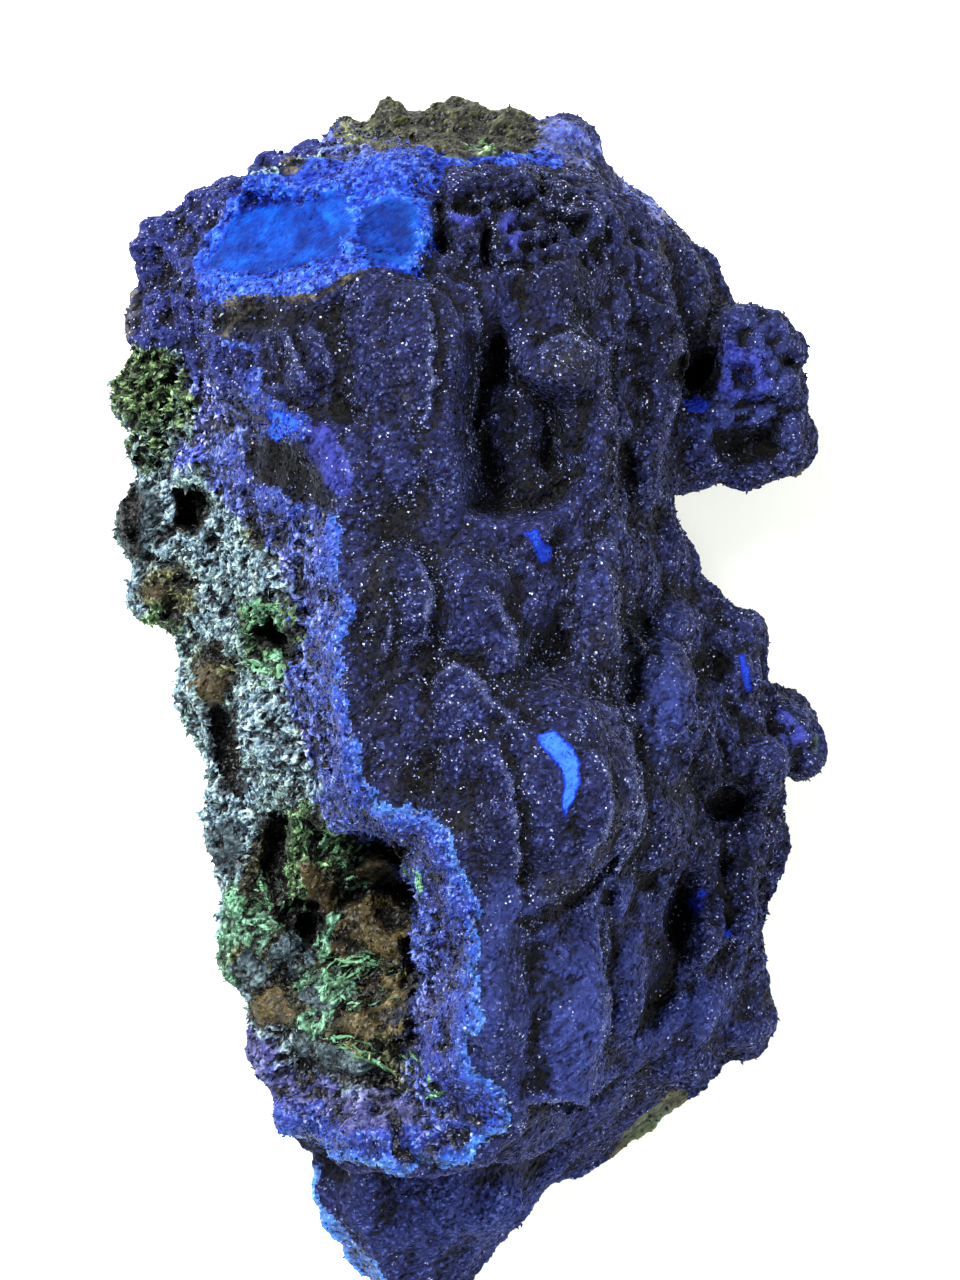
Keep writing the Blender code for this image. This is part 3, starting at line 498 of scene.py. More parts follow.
crustForms = {
    # Domes of the crust: x and y of the middle, half the width, half the length, degrees that the top leans
    # to the right, and how far the rim lies under the top
    "domes": (
        (-6.5, 28.5, 3.5, 7, 0, 1.2), (-1, 29.5, 2.2, 6, 0, 1.6), (-1.5, 21, 2.2, 4, 0, 1),
        (-7, 19.5, 3, 4, 0, 0.9), (2.5, 32.5, 2, 3.5, 0, 1.4), (6, 33.5, 2, 4.5, 0, 1.6),
        (9.5, 35.5, 2, 3.5, 0, 1.3), (7.5, 27, 4, 3.2, 0, 2.4), (9.5, 22.5, 2.5, 2.7, 0, 2),
        (9.5, 18.5, 2.5, 3, 0, 2), (3.5, 23.5, 2.5, 2.4, 0, 2.2), (5, 18, 2.5, 2.4, 0, 2),
        (-5.5, 8.5, 2.8, 4, 0, 1.6), (0.5, 7, 3.5, 4.5, 12, 1.7), (5.5, 8.5, 2.5, 4.3, 0, 1.3),
        (11, 7.5, 2, 5.5, 0, 1.7), (-5, -2, 3.2, 3.6, 0, 1.3), (-0.5, 0, 2.8, 3, 20, 1.2),
        (1, -8, 3.4, 6.8, 0, 1.5), (7.5, -6.5, 6.5, 8.8, 0, 2.4), (17.5, 6.5, 2, 2, -20, 1.2),
        (16.5, 0, 2.7, 5.5, 0, 1.7), (16, -7.5, 2.5, 3.5, 0, 1), (2.5, -20.5, 1.8, 8.8, 0, 1.1),
        (8, -24.5, 3.5, 8.7, 0, 1.9), (13, -22, 1.5, 8, 0, 1.3), (15.5, -17.5, 2, 4.5, 0, 1),
        (21, -27, 3, 5.5, 15, 1.4), (16.5, -30, 3.5, 4.5, 30, 0.9), (23, 33, 1.2, 1.2, 0, 1),
        (26.5, 32, 1.4, 1.4, 0, 1.1), (25, 30.6, 1, 1, 0, 0.8), (23, 29.7, 0.9, 1, 0, 0.8),
        (24.5, 28.4, 0.9, 0.9, 0, 0.8), (26.4, 29, 1, 1.1, 0, 0.9), (27.8, 27.5, 0.9, 1.1, 0, 0.9),
        (27.5, 30.4, 0.8, 0.8, 0, 0.7), (26, 26.9, 1.1, 0.8, 0, 0.7), (24.5, 26.4, 1.2, 0.7, 0, 0.8),
        (20, 25.3, 1.4, 0.8, 0, 0.8), (22.3, 24.5, 1.5, 0.8, 0, 0.8), (24.3, 24.3, 1.1, 0.8, 0, 0.7),
        (25.8, 25.2, 0.9, 0.8, 0, 0.7), (28.4, 24, 1, 1.3, 0, 1), (28.7, 21.7, 1, 1.3, 0, 1),
        (27.8, 19.9, 0.9, 0.8, 0, 0.8), (26.2, 19.7, 0.9, 0.7, 0, 0.7), (24, 20.9, 1, 0.8, 0, 0.6),
        (22.3, 20.2, 0.9, 0.7, 0, 0.6), (21.8, 31.7, 0.9, 1, 0, 0.7), (20, 33.4, 1.1, 1.3, 0, 0.8),
        (14.5, 13, 3.5, 4.2, 20, 0.8), (23, 7, 1.4, 1.1, 10, 0.9), (24.4, 5.6, 1.1, 1.3, 0, 0.9),
        (23.7, 2.4, 0.8, 1.1, 0, 0.8), (21.6, 4.7, 1, 0.8, 0, 0.6), (27.7, -1.7, 1.1, 1, 0, 0.9),
        (29.2, -3.8, 1.1, 1.3, 0, 1), (26.8, -5, 1.5, 1.3, 0, 0.9), (30, -6.2, 0.9, 1.1, 0, 0.7),
        (25.1, -7.6, 1.3, 0.9, 0, 0.8), (22.9, -5.5, 1.2, 1.2, 0, 0.9), (19.7, -3.8, 1.2, 1.5, 0, 0.9),
        (20.2, -8.1, 1, 1, 0, 0.8), (22, -0.4, 1.1, 1.1, 0, 0.8), (25.1, -0.8, 0.9, 1.1, 0, 0.8),
        (24.5, -14, 2, 4, 5, 1.3), (24.5, -21.5, 1.5, 4.5, 5, 1), (24.5, -30, 2.5, 2.1, 0, 1.5),
        (-1, 42, 1.4, 1.6, 0, 1.4), (0, 38.5, 1.9, 2.4, 0, 1.2), (4, 38, 1.7, 2.4, 0, 1.4),
        (7, 44, 2.2, 1.3, 0, 1.2), (10, 43, 2, 1.7, 0, 1.3), (9, 39, 1.8, 1.7, 0, 1.2),
        (-13.5, 29.5, 3, 2, 30, 1), (-12, 26, 2.2, 2, 0, 0.9),
    ),
    # Smaller ones that ride on those
    "beads": (
        (11, 34, 1.2, 1.5, 0, 0.7), (11, 31, 1.2, 1.5, 0, 0.7), (13, 37, 1.3, 1.7, 0, 0.9),
        (13.5, 34, 1.3, 1.7, 0, 0.9), (13.5, 31.5, 1.2, 1.7, 0, 0.9), (13.5, 28.5, 1.2, 1.7, 0, 0.9),
        (13.5, 26, 1.3, 1.6, 0, 0.9), (13.5, 23.5, 1.1, 1.3, 0, 0.7), (15, 38, 1.2, 1.5, 0, 0.9),
        (15.5, 35.5, 1.3, 1.7, 0, 1), (16.5, 32.5, 1.4, 1.7, 0, 1.2), (17, 30, 1.3, 1.4, 0, 1.2),
        (16, 27.5, 1.4, 1.4, 0, 1.1), (16.5, 25.5, 1.5, 1.3, 0, 1.2), (15.5, 23.5, 1.3, 1.5, 0, 1),
        (15.5, 20.5, 1.3, 1.7, 0, 1), (14.5, 18, 1.3, 1.5, 0, 0.9), (10, 27.5, 2.2, 2.6, 0, 0.9),
        (5, 27.5, 2, 2.4, 0, 0.7), (7.5, 25, 1.8, 1.2, 0, 0.7), (-7.5, 7, 1.4, 2.6, 0, 0.7),
        (-4.5, 6, 1.6, 2.3, 0, 0.8), (-2.5, 8, 1.6, 3, 0, 0.6), (9.5, 8, 1.2, 4.5, 0, 0.7),
        (11.5, 8, 1, 4.5, 0, 0.6), (4, 11, 1.2, 1.2, 0, 0.6), (6, 7, 1.6, 2.2, 0, 0.6),
        (7, -9.5, 3.2, 5.8, 0, 1.2), (10, -8, 2.7, 5.7, 0, 1), (10.5, -4.5, 2.5, 4.7, 15, 0.7),
        (-1.5, -5.5, 2.4, 5, 0, 0.6), (2.5, -12, 1.5, 4, 0, 0.5), (16, 5, 1.8, 2, 0, 0.6),
        (17.5, 0.5, 1.5, 3.4, 0, 0.5), (15, -2, 1.5, 4, 0, 0.5),
    ),
    # Sunk places: outline, depth and how wide the wall is
    "hollows": (
        (
            (
                (1, 30), (0.6, 26.7), (0, 24.5), (-0.2, 23), (0.4, 21), (1, 18), (1.8, 16.3), (3.2, 16.3),
                (3, 18.3), (2.6, 20), (1.6, 21.2), (0.9, 22.2), (0.7, 23.5), (1.2, 25), (2.2, 26),
                (4.4, 26.2), (3.2, 28), (2.4, 30)
            ),
            2.4, 1.3
        ),
        (
            (
                (4, 25.8), (5.5, 25.2), (7, 24), (7.7, 22), (8, 19.2), (7.2, 18.2), (5.8, 18.9), (5.2, 20.4),
                (6, 21.4), (6, 22.8), (5.2, 24.2)
            ),
            2.4, 1.3
        ),
        (((-3.1, 42), (-2.3, 41), (-1.8, 38), (-1.4, 36.5), (-2.4, 36.7), (-3, 39.5)), 2.4, 1.1),
        (((1, 40), (2, 39.5), (2, 37), (1.6, 35.4), (1, 35.6), (1, 38)), 2.4, 1.1),
        (
            ((2.5, 42), (5, 42.3), (8, 40.5), (10, 39.8), (9.5, 39), (6.5, 39.4), (4.5, 40.8), (3, 41)),
            1.4, 1.2
        ),
        (((5.5, 44), (6.5, 43.5), (8.5, 41.5), (8, 41), (6, 42.3)), 1.3, 0.9),
        (
            (
                (17.3, 28.8), (19, 30), (20.6, 30), (21.6, 28.5), (21.6, 26.8), (20.5, 26.4), (18.5, 26.4),
                (17.4, 27.2)
            ),
            3, 1.2
        ),
        (
            (
                (21.5, 23), (24, 23.3), (26.5, 23.2), (27, 21.5), (26.3, 20.7), (23.5, 20.2), (22, 20.5),
                (21.4, 22)
            ),
            2, 1.2
        ),
        (((11.5, 21.5), (13.3, 21.3), (13.8, 19), (13.3, 17), (12.3, 17.8), (11.7, 19.5)), 1.6, 1.4),
        (((12.7, 7), (14.5, 7.5), (14.8, 5), (14, 0.5), (13.2, -1), (12.7, 0.5), (13.2, 4)), 1.6, 1.4),
        (((18.5, 3.5), (21.5, 4), (22.3, 2.5), (21.5, 1), (19, 1.5)), 1.4, 1.4),
        (
            (
                (17, -16), (19, -15.5), (20.2, -17), (19.6, -19.5), (19, -22.5), (18, -24), (17, -26),
                (15.5, -28.5), (14.5, -28.5), (14.5, -26.5), (15.5, -23.5), (16, -20.5), (16.7, -18.5)
            ),
            1.3, 2.4
        ),
        (
            (
                (17.5, -5), (19.5, -4.6), (22.5, -5.7), (25.5, -7.5), (25, -10), (22, -11), (19.5, -9.5),
                (17.5, -8)
            ),
            1.0, 2.4
        ),
        (
            (
                (4, -18), (6, -17), (7.5, -16), (9.5, -15), (11, -13.5), (11.5, -12), (12, -13), (11, -15),
                (9, -16.5), (7, -17.5), (5, -18.5)
            ),
            1.2, 1.4
        ),
        (((14, -14.5), (15.4, -14.5), (15.3, -16.3), (14.3, -16.4)), 1.5, 0.9),
        (((11, -15.7), (12, -15.7), (12, -17.2), (11, -17)), 1.2, 0.9),
        (((-0.7, -33.6), (1.3, -33.7), (1, -34.4), (-0.2, -34.3)), 1.5, 0.9),
        (((5.5, 5), (7, 7), (8, 5), (8, 3), (6.5, 2.5), (4.5, 3)), 1.5, 0.9),
        (((23, 28.5), (24.4, 28.5), (24.4, 27), (23.2, 27.3)), 1.5, 0.9),
        (((27, 29.5), (28, 29.5), (28.5, 28.5), (27.2, 28.6)), 1.8, 0.9),
    ),
    # Edges where one sheet of the crust laps over the next, raised on the right hand as the line runs: the
    # line, the height of the lap and how far back it reaches
    "laps": (
        (((-3, 0), (-2.5, 2), (-1, 3), (0.5, 2.5), (2, 0), (3.5, -1), (5, -2.5)), 0.7, 1.2),
        (
            (
                (9, 1.5), (10.5, 0), (12, -1.2), (13.3, -3), (14, -5.5), (14.3, -7.5), (14, -10),
                (13.3, -12.5), (12.2, -14.5), (10.5, -15.5)
            ),
            1.1, 2
        ),
        (((9.5, -3.5), (11, -5.5), (11.5, -8), (11, -10.5), (10, -12.5), (8.5, -14.5)), 0.6, 1.6),
        (((2.5, -3), (3.5, -6), (4, -9.5), (4, -14.5), (4.5, -17)), 0.7, 1.6),
        (((-5, 12.5), (-4, 11.5), (-3, 9.5), (-2.8, 8), (-3.2, 5), (-5, 3)), 0.8, 1.6),
        (((1, 9.5), (2.5, 8), (3.5, 6), (3.9, 4), (3.5, 2.5)), 0.8, 1.8),
        (((-7.5, 8), (-6.5, 8), (-6.1, 6.5), (-6.2, 4.5), (-7.2, 3)), 0.5, 1.2),
        (
            (
                (16, 39), (17, 37.3), (17.2, 35), (18.5, 32.5), (18.8, 30.5), (17.4, 28.6), (17.7, 26.8),
                (18.3, 25.8), (17.3, 24), (17, 22), (16.2, 19.5), (15, 17)
            ),
            0.7, 1.2
        ),
        (
            (
                (-2.5, 35), (0, 33.5), (1, 31.5), (1, 29), (0.8, 26.5), (0.6, 24.5), (0, 23), (0.4, 21.5),
                (0.6, 20), (1.3, 16)
            ),
            0.8, 1.6
        ),
        (((-3.5, 35), (-3, 30.5), (-2.7, 27), (-2.9, 24), (-3.4, 21.5)), 0.4, 1.5),
        (((11, 11.5), (12.3, 8.5), (12.6, 5), (12.3, 2.5)), 0.6, 1.4),
        (((11, -17), (11.5, -20), (11.4, -24), (11, -27.5), (11.4, -31.5)), 0.6, 1.4),
        (((13, -31.5), (11, -33.4), (6.5, -32.6), (4.8, -33), (4.1, -36)), 1.6, 2.5),
        (((-16.5, 30.5), (-15, 30), (-14, 28), (-13, 26), (-12.5, 25)), 0.5, 1.1),
        (((-13.5, 31), (-11.5, 29), (-11, 27), (-11, 25)), 0.4, 1.2),
        (((4.5, 44.5), (6, 42.5), (7, 40.5), (8.5, 39)), 0.9, 0.9),
        (((6, 45), (7.5, 42.5), (8.5, 41), (10, 40.5)), 0.8, 0.9),
        (((5.3, 28.1), (6.4, 29.3), (8.1, 29.7), (9.9, 29.1), (11, 28)), 0.6, 0.9),
        (((5, 39.3), (6, 38.5), (7, 38), (8.5, 38.5)), 0.7, 0.8),
    ),
    "between": 0.6,       # mm, how deep the crust lies between domes
    "overlap": 1.18,      # how far domes reach under each other
}


rockForms = {
    # Rounded lumps of the broken side, as the crust's domes
    "lumps": (
        (-7.5, -14.5, 2.2, 1.2, 0, 1), (-8, -19.5, 3, 3, 0, 1.4), (-13, -16.5, 1.4, 2, -30, 1),
        (-15, -22.5, 1.7, 2.2, 0, 1.4), (-16.5, -26.5, 2, 1.8, 0, 0.8), (-8.5, -27, 3, 1.7, 0, 0.8),
        (-10.5, -24.5, 2.5, 2, 0, 0.8), (-19, -18, 1.7, 2, 0, 0.9), (-14, -13, 1.4, 2, 0, 0.9),
        (-4, -20, 1.4, 2.2, 0, 1), (-11.5, -30, 3.3, 1.7, 0, 0.7), (-5, -31, 2.1, 1.4, -30, 1.1),
        (-22.5, 1, 1.9, 1.6, 0, 1), (-24, 20.5, 1.7, 1.7, 0, 0.9), (-27, 9, 1.4, 1.7, 0, 0.9),
        (-15.5, 6.5, 1.2, 1.2, 0, 0.7), (-29, 15, 2, 3.5, 10, 1), (-30.2, 33.3, 1.3, 1.8, 0, 0.9),
        (-11, 19.5, 1.4, 3.2, 25, 0.7),
    ),
    # Holes: outline, depth and how wide the wall is
    "hollows": (
        (
            (
                (-17.5, -11), (-16.5, -10), (-15.5, -10.5), (-15.5, -13), (-16, -15.5), (-16, -18),
                (-17, -18), (-18, -16), (-17.5, -13.5)
            ),
            4, 0.8
        ),
        (
            (
                (-15, -18.5), (-14, -17.7), (-12.8, -18.3), (-12.8, -20), (-13, -21.7), (-14, -21.2),
                (-15, -20.3)
            ),
            5, 0.7
        ),
        (((-17, -18.5), (-15.5, -17.5), (-14.5, -17), (-14.5, -18.5), (-15.5, -20), (-16.5, -20)), 3.5, 0.8),
        (
            (
                (-5.5, -20.5), (-4.5, -21.5), (-4.5, -23), (-4.5, -24.5), (-5, -27), (-4.5, -28.5),
                (-5.5, -28.5), (-5.5, -27), (-5.5, -25.5), (-5.5, -23.5)
            ),
            3.5, 0.9
        ),
        (
            (
                (-9.8, -13.5), (-8, -12.3), (-6, -12), (-5.3, -13), (-5.7, -15), (-6.5, -13.8), (-8, -13.2),
                (-9.5, -14.3)
            ),
            3, 0.8
        ),
        (
            (
                (-11, -18), (-10, -16.8), (-8.3, -16), (-6.5, -16.4), (-5, -17.6), (-5.4, -18), (-7, -17),
                (-8.5, -16.7), (-10, -17.5)
            ),
            2, 0.6
        ),
        (((-12, -32), (-7.5, -31.3), (-5, -32.5), (-8, -33)), 1, 0.8),
        (
            ((-25.5, 17.5), (-24, 17.8), (-22.6, 17.5), (-22.2, 16), (-22.6, 14.7), (-23.7, 14), (-25.3, 15)),
            4.5, 0.8
        ),
        (((-18.3, 5.6), (-15.5, 5.6), (-14.5, 4.3), (-15, 3), (-16, 4), (-18, 4.5)), 3, 0.8),
        (((-25.3, 11.3), (-24.2, 10.7), (-23.9, 9.3), (-25, 9.5)), 1.6, 0.8),
        (((-26.3, 8.3), (-25, 7.3), (-25.3, 6.1), (-26.3, 6.6)), 1.4, 0.8),
        (((-23, 4.6), (-21, 4.2), (-20.6, 2.6), (-22.5, 2.9)), 2, 0.8),
        (((-22.3, -1.5), (-20.7, -1.2), (-19.4, -3.7), (-19.8, -8), (-21.2, -7.4), (-22, -4)), 2.5, 0.8),
        (((-22.5, 13.6), (-21.1, 13.5), (-21.6, 12.6)), 1.2, 0.8),
        (((-19, 15), (-17.2, 14.2), (-17.5, 12.7), (-18.5, 13.1)), 1.5, 0.8),
        (
            ((-8, -33.5), (-6, -34), (-5.5, -37), (-2.5, -38.2), (-3, -38.6), (-6, -37.3), (-6.5, -34.5)),
            1.2, 0.8
        ),
        (((-30.5, 17.5), (-29, 17.8), (-28.3, 13.5), (-29.5, 12)), 2, 0.8),
        (((-14.7, 9.5), (-13.9, 10.8), (-13.6, 8.4)), 1.2, 0.8),
        (((-13.8, -10.5), (-12.4, -9), (-12.2, -12.5), (-13.2, -13.5)), 2, 0.8),
        (((-18, 21), (-14.5, 20.8), (-12.8, 18.5), (-12.2, 16.2), (-14.5, 16.9), (-16.8, 18.2)), 1.3, 1.4),
        (
            (
                (-20.5, 31), (-16, 31.3), (-12.5, 31.5), (-10.5, 32.5), (-10.5, 31.3), (-13, 30.3),
                (-16, 29.6), (-20, 30)
            ),
            0.8, 1.2
        ),
    ),
}


def domeField(plan, forms, between):
    # The height of the highest dome at each point: rise (sqrt(1 - r^2) - 1), r being the distance from the
    # middle over the half size, and -between where no dome reaches. The second array is that dome's r^2, 1 on
    # its rim
    highest = np.full(len(plan), -float(between))
    rim = np.zeros(len(plan))
    for x, y, wide, long, lean, rise in forms:
        wide, long = wide * crustForms["overlap"], long * crustForms["overlap"]
        near = np.flatnonzero(nearTo(plan, ((x, y),), max(wide, long)))
        turn = math.radians(lean)
        gap = plan[near] - (x, y)
        across = (gap[:, 0] * math.cos(turn) - gap[:, 1] * math.sin(turn)) / wide
        along = (gap[:, 0] * math.sin(turn) + gap[:, 1] * math.cos(turn)) / long
        inside = np.clip(1 - across ** 2 - along ** 2, 0, 1)
        height = np.where(inside > 0, rise * (np.sqrt(inside) - 1), -between)
        rim[near] = np.where(height > highest[near], 1 - inside, rim[near])
        highest[near] = np.maximum(highest[near], height)
    return highest, rim


def lapField(plan, laps):
    # 1.25 h exp(-d / reach) on the raised side of each line and -0.5 h exp(-2d / reach) on the other, both
    # fading out towards the line's ends as sqrt(sin(pi t)). The second array is 1 along the raised lips, the
    # third 1 just outside them
    total = np.zeros(len(plan))
    lip = np.zeros(len(plan))
    gap = np.zeros(len(plan))
    for line, height, reach in laps:
        near = np.flatnonzero(nearTo(plan, line, 4 * reach))
        side, share = lineDistance(plan[near], line)
        ends = np.sqrt(np.clip(np.sin(math.pi * share), 0, 1))
        up = np.exp(side / reach)
        down = -0.5 * np.exp(-2 * side / reach)
        total[near] += 1.25 * height * ends * np.where(side < 0, up, down)
        lip[near] = np.maximum(lip[near], ends * np.exp(-(side + 0.2) ** 2 / 0.09))
        gap[near] = np.maximum(gap[near], ends * np.exp(-(side - 0.6) ** 2 / 0.3))
    return total, lip, gap


def crustRelief(points):
    # Domes, beads, laps and hollows of the crust on the side that faces up
    plan = ragged(points, 0.35, 1.5, 71)
    relief = domeField(plan, crustForms["domes"], crustForms["between"])[0]
    relief += domeField(plan, crustForms["beads"], 0.25)[0]
    relief += lapField(plan, crustForms["laps"])[0]
    for outline, depth, fade in crustForms["hollows"]:
        relief -= depth * patch(plan, outline, fade)
    return relief


def crustEdges(points):
    # 1 along the lips of the laps and less on the rims of the domes, where painted highlight goes; and a band
    # just outside the lips, where painted shadow goes
    plan = ragged(points, 0.35, 1.5, 71)
    rims = smoothStep(domeField(plan, crustForms["domes"], 9)[1], 0.5, 0.85)
    beads = smoothStep(domeField(plan, crustForms["beads"], 9)[1], 0.5, 0.85)
    lip, gap = lapField(plan, crustForms["laps"])[1:]
    return np.maximum.reduce([0.45 * rims, 0.45 * beads, lip]), gap


def rockRelief(points):
    # Lumps and holes of the broken side
    plan = ragged(points, 0.5, 1.6, 73)
    relief = domeField(plan, rockForms["lumps"], 0.6)[0]
    for outline, depth, fade in rockForms["hollows"]:
        relief -= depth * patch(plan, outline, fade)
    return relief


def wallNet(points, size, seed):
    # Thin walls between open cells, from 1 on a wall to -1 on a cell's floor: the gap between the two nearest
    # cell points, which is 0 on a wall
    shaken = points + 0.3 * size * softNoise(points, size, seed + 5)[:, None]
    nearest, second = cellField(shaken, size, seed)[:2]
    return 1 - 2 * smoothStep(second - nearest, 0.06, 0.42)


def ridges(points, size, seed):
    # Thin curved crests with hollows between: 1 - 4|n| of a noise n, from 1 on a crest down to -1
    return np.clip(1 - 4 * np.abs(roughNoise(points, size, seed, 3)), -1, 1)


def pits(points, size, seed, level):
    # 1 in scattered pits and 0 elsewhere: where a noise passes this level
    return smoothStep(roughNoise(points, size, seed, 2), level, level + 0.25)


# Stretches noise along the layers of the rock
leaning = np.array([[0.9, -0.75, 0], [0.35, 1.6, 0], [0, 0, 1.2]])


body = {
    "formVoxel": 0.42,      # mm, for the forms
    "skinVoxel": 0.27,      # mm, for the finished skin
    "softening": 9,         # passes that round off the solid's facets
    "botryoids": ((2.6, 0.5), (1.3, 0.28)),   # spacing and height of each size of dome
    "grains": 0.42,         # mm, the broken rock's grains
    "druse": 0.08,          # mm, how uneven the tiny crystals make the crust
    "creaseRounds": (8, 70),                  # rounds of smoothing that find the creases and the hollows
    "creaseGain": 3.2,
    "hollowGain": 0.8,
    "cuts": (34.2, 14.4, -2.2, -25.0),        # y of the planes that part the mesh into pieces
    "names": ("topEnd", "shoulder", "waist", "belly", "foot"),
}


def readAll(items, name, width=1, kind=float):
    # This value of every vertex, edge, corner or face as one array
    found = np.empty(len(items) * width, kind)
    items.foreach_get(name, found)
    return found


def meshArrays(mesh):
    points, normals = [readAll(mesh.vertices, name, 3).reshape(-1, 3) for name in ("co", "normal")]
    return points / mm, normals


def edgeEnds(mesh):
    return readAll(mesh.edges, "vertices", 2, np.int64).reshape(-1, 2).T


def inScene(name, data):
    # A new object in the scene that shows this mesh, light or camera
    thing = bpy.data.objects.new(name, data)
    bpy.context.scene.collection.objects.link(thing)
    return thing


def putPoints(mesh, points):
    mesh.vertices.foreach_set("co", (points * mm).ravel())
    mesh.update()


def baked(thing):
    # The object again, with its modifiers made part of its mesh
    graph = bpy.context.evaluated_depsgraph_get()
    mesh = bpy.data.meshes.new_from_object(thing.evaluated_get(graph))
    old = thing.data
    thing.modifiers.clear()
    thing.data = mesh
    bpy.data.meshes.remove(old)
    return thing


def remeshed(thing, size):
    voxels = thing.modifiers.new("voxels", "REMESH")
    voxels.mode = "VOXEL"
    voxels.voxel_size = size * mm
    return baked(thing)


def copyOfNode():
    made = bmesh.new()
    made.from_mesh(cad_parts[nodeName].data)
    bmesh.ops.remove_doubles(made, verts=made.verts, dist=1e-6)
    mesh = bpy.data.meshes.new("specimen")
    made.to_mesh(mesh)
    made.free()
    return inScene("specimen", mesh)


def offTheGround(points):
    # 0 on the face that the rock rests on, 1 above it
    return smoothStep(points[:, 2], 0.1, 1.6)


def kept(points):
    # No point leaves the solid's box
    low = np.array(cadBox[0]) / mm
    high = np.array(cadBox[1]) / mm
    return np.clip(points, low, high)


# Outline, a place on the floor, its slopes along x and y, how far it replaces the solid's and over what width
floors = (
    ("pocketLarge", (-18.3, 39.0, 22.6), (0.79, -1.0), 0.92, 1.5),
    ("pocketSmall", (-6.5, 38.5, 30.4), (0.36, -0.7), 0.85, 1.4),
    ("cavity", (4.5, 21.0, 29.4), (0.0, -0.12), 1.0, 1.8),
    ("crestFold", (-18.4, 28.0, 30.3), (0.6, 0.1), 1.0, 1.2),
)


def growForms(points, normals):
    # Domes of two sizes on the crust; lumps, hollows and pits on the broken rock; deep cells in the
    # malachite. Each term is millimetres of height times a noise that takes its size in millimetres and its
    # seed
    zones = zonesOf(points)
    grow = np.zeros(len(points))
    strength = (0.45 - 0.33 * zones["calm"] + 0.9 * zones["wild"]) * (1 + 0.35 * softNoise(points, 9, 3))
    facesUp = smoothStep(normals[:, 2], 0.05, 0.4)
    strength = strength * facesUp + (1 - facesUp)
    for n, (size, height) in enumerate(body["botryoids"]):
        swell = domes(points + 0.25 * size * softNoise(points, size, 7)[:, None], size, 11 + n) - 0.6
        grow += zones["crust"] * strength * height * swell
    fold = 1 - np.abs(roughNoise(points, 3.2, 17, 3)) * 2.2
    grow += zones["crust"] * zones["wild"] * 0.4 * fold
    grow += zones["crust"] * zones["wild"] * facesUp * 0.3 * ridges(points, 2.4, 18)
    grow += zones["craggy"] * facesUp * (0.7 * ridges(points, 2.2, 26) - 0.9 * pits(points, 1.6, 27, 0.45))
    grow += zones["violetCrust"] * (
        0.45 * roughNoise(points, 2.4, 28, 3) + 0.35 * ridges(points, 2.0, 30)
        - 0.5 * pits(points, 1.8, 34, 0.5)
    )
    rough = zones["rock"] * (1 - 0.75 * zones["smooth"])
    grow += rough * (0.5 * roughNoise(points, 4, 19) - 0.2 + 0.28 * ridges(points @ leaning, 2.2, 23))
    grow -= rough * 0.7 * pits(points, 2.4, 25, 0.55)
    grow += zones["vug"] * (
        0.6 * roughNoise(points, 3, 29, 3) + 0.5 * (1 - zones["smooth"]) * ridges(points, 2.6, 31)
    )
    grow += zones["topMatrix"] * (0.35 * roughNoise(points, 3.5, 33, 4) + 0.3 * ridges(points, 2.4, 35))
    grow += zones["sponge"] * 1.2 * (wallNet(points * (1, 1, 0.7), 1.3, 37) - 0.6)
    swell = domes(points, 2.8, 39) - 0.6
    grow += zones["band"] * (0.1 + 0.25 * swell + 0.12 * roughNoise(points, 1, 39, 2))
    moved = points + normals * (grow * offTheGround(points))[:, None]
    relief = crustRelief(points) * zones["crust"] + rockRelief(points) * (1 - zones["crust"])
    moved[:, 2] += relief * facesUp * offTheGround(points) * (1 - zones["pocket"])
    # These floors are flatter than the solid's: sloping planes z = z0 + a (x - x0) + b (y - y0), blended in
    for name, (x, y, z), (a, b), share, fade in floors:
        floor = z + a * (points[:, 0] - x) + b * (points[:, 1] - y) + 0.3 * roughNoise(points, 4, 83, 3)
        if not name.startswith("pocket"):
            floor += relief
        level = share * smoothStep(points[:, 2], 10, 14)
        level *= patch(points[:, :2], outlines[name], fade, 0.4 * fade)
        moved[:, 2] += level * (floor - moved[:, 2])
    return moved


def growSkin(points, normals):
    # Grains of the broken rock and of the band, and the druse of the crust
    zones = zonesOf(points)
    mark = cellField(points, body["grains"], 47)[2]
    crest = ridges(points @ leaning, 0.7, 49)
    pit = pits(points @ leaning, 0.85, 51, 0.5)
    rough = zones["rock"] * (1 - 0.8 * zones["smooth"]) * (1 - 0.4 * zones["inner"])
    grains = (mark - 0.5) * 0.16 * (1 - 0.6 * zones["smooth"]) + rough * (0.1 * crest - 0.3 * pit)
    zones["net"] = np.clip(0.5 + 0.5 * crest - 0.9 * pit, 0, 1)
    coarse = np.maximum(1 - zones["crust"], zones["under"]) * (1 - zones["pocket"])
    druse = (cellField(points, 0.42, 53)[2] - 0.5) * 2 * body["druse"] + 0.06 * domes(points, 1.0, 55)
    grow = coarse * grains + zones["crust"] * druse
    jitter = np.random.default_rng(61).uniform(-0.05, 0.05, points.shape)
    ground = offTheGround(points)[:, None]
    moved = points + (normals * grow[:, None] + jitter) * ground
    return moved, zones


def creasesOf(mesh, points, normals, rounds):
    # How far a point lies under the mean of its neighbours, after each number of rounds: above 0 in a crease
    a, b = edgeEnds(mesh)
    degree = np.bincount(a, minlength=len(points)) + np.bincount(b, minlength=len(points))
    smooth = points.copy()
    found = []
    for n in range(max(rounds)):
        total = np.zeros_like(smooth)
        for axis in range(3):
            ahead = np.bincount(a, smooth[b, axis], len(points))
            total[:, axis] = ahead + np.bincount(b, smooth[a, axis], len(points))
        smooth = total / degree[:, None]
        if n + 1 in rounds:
            found.append(((smooth - points) * normals).sum(axis=1))
    return found


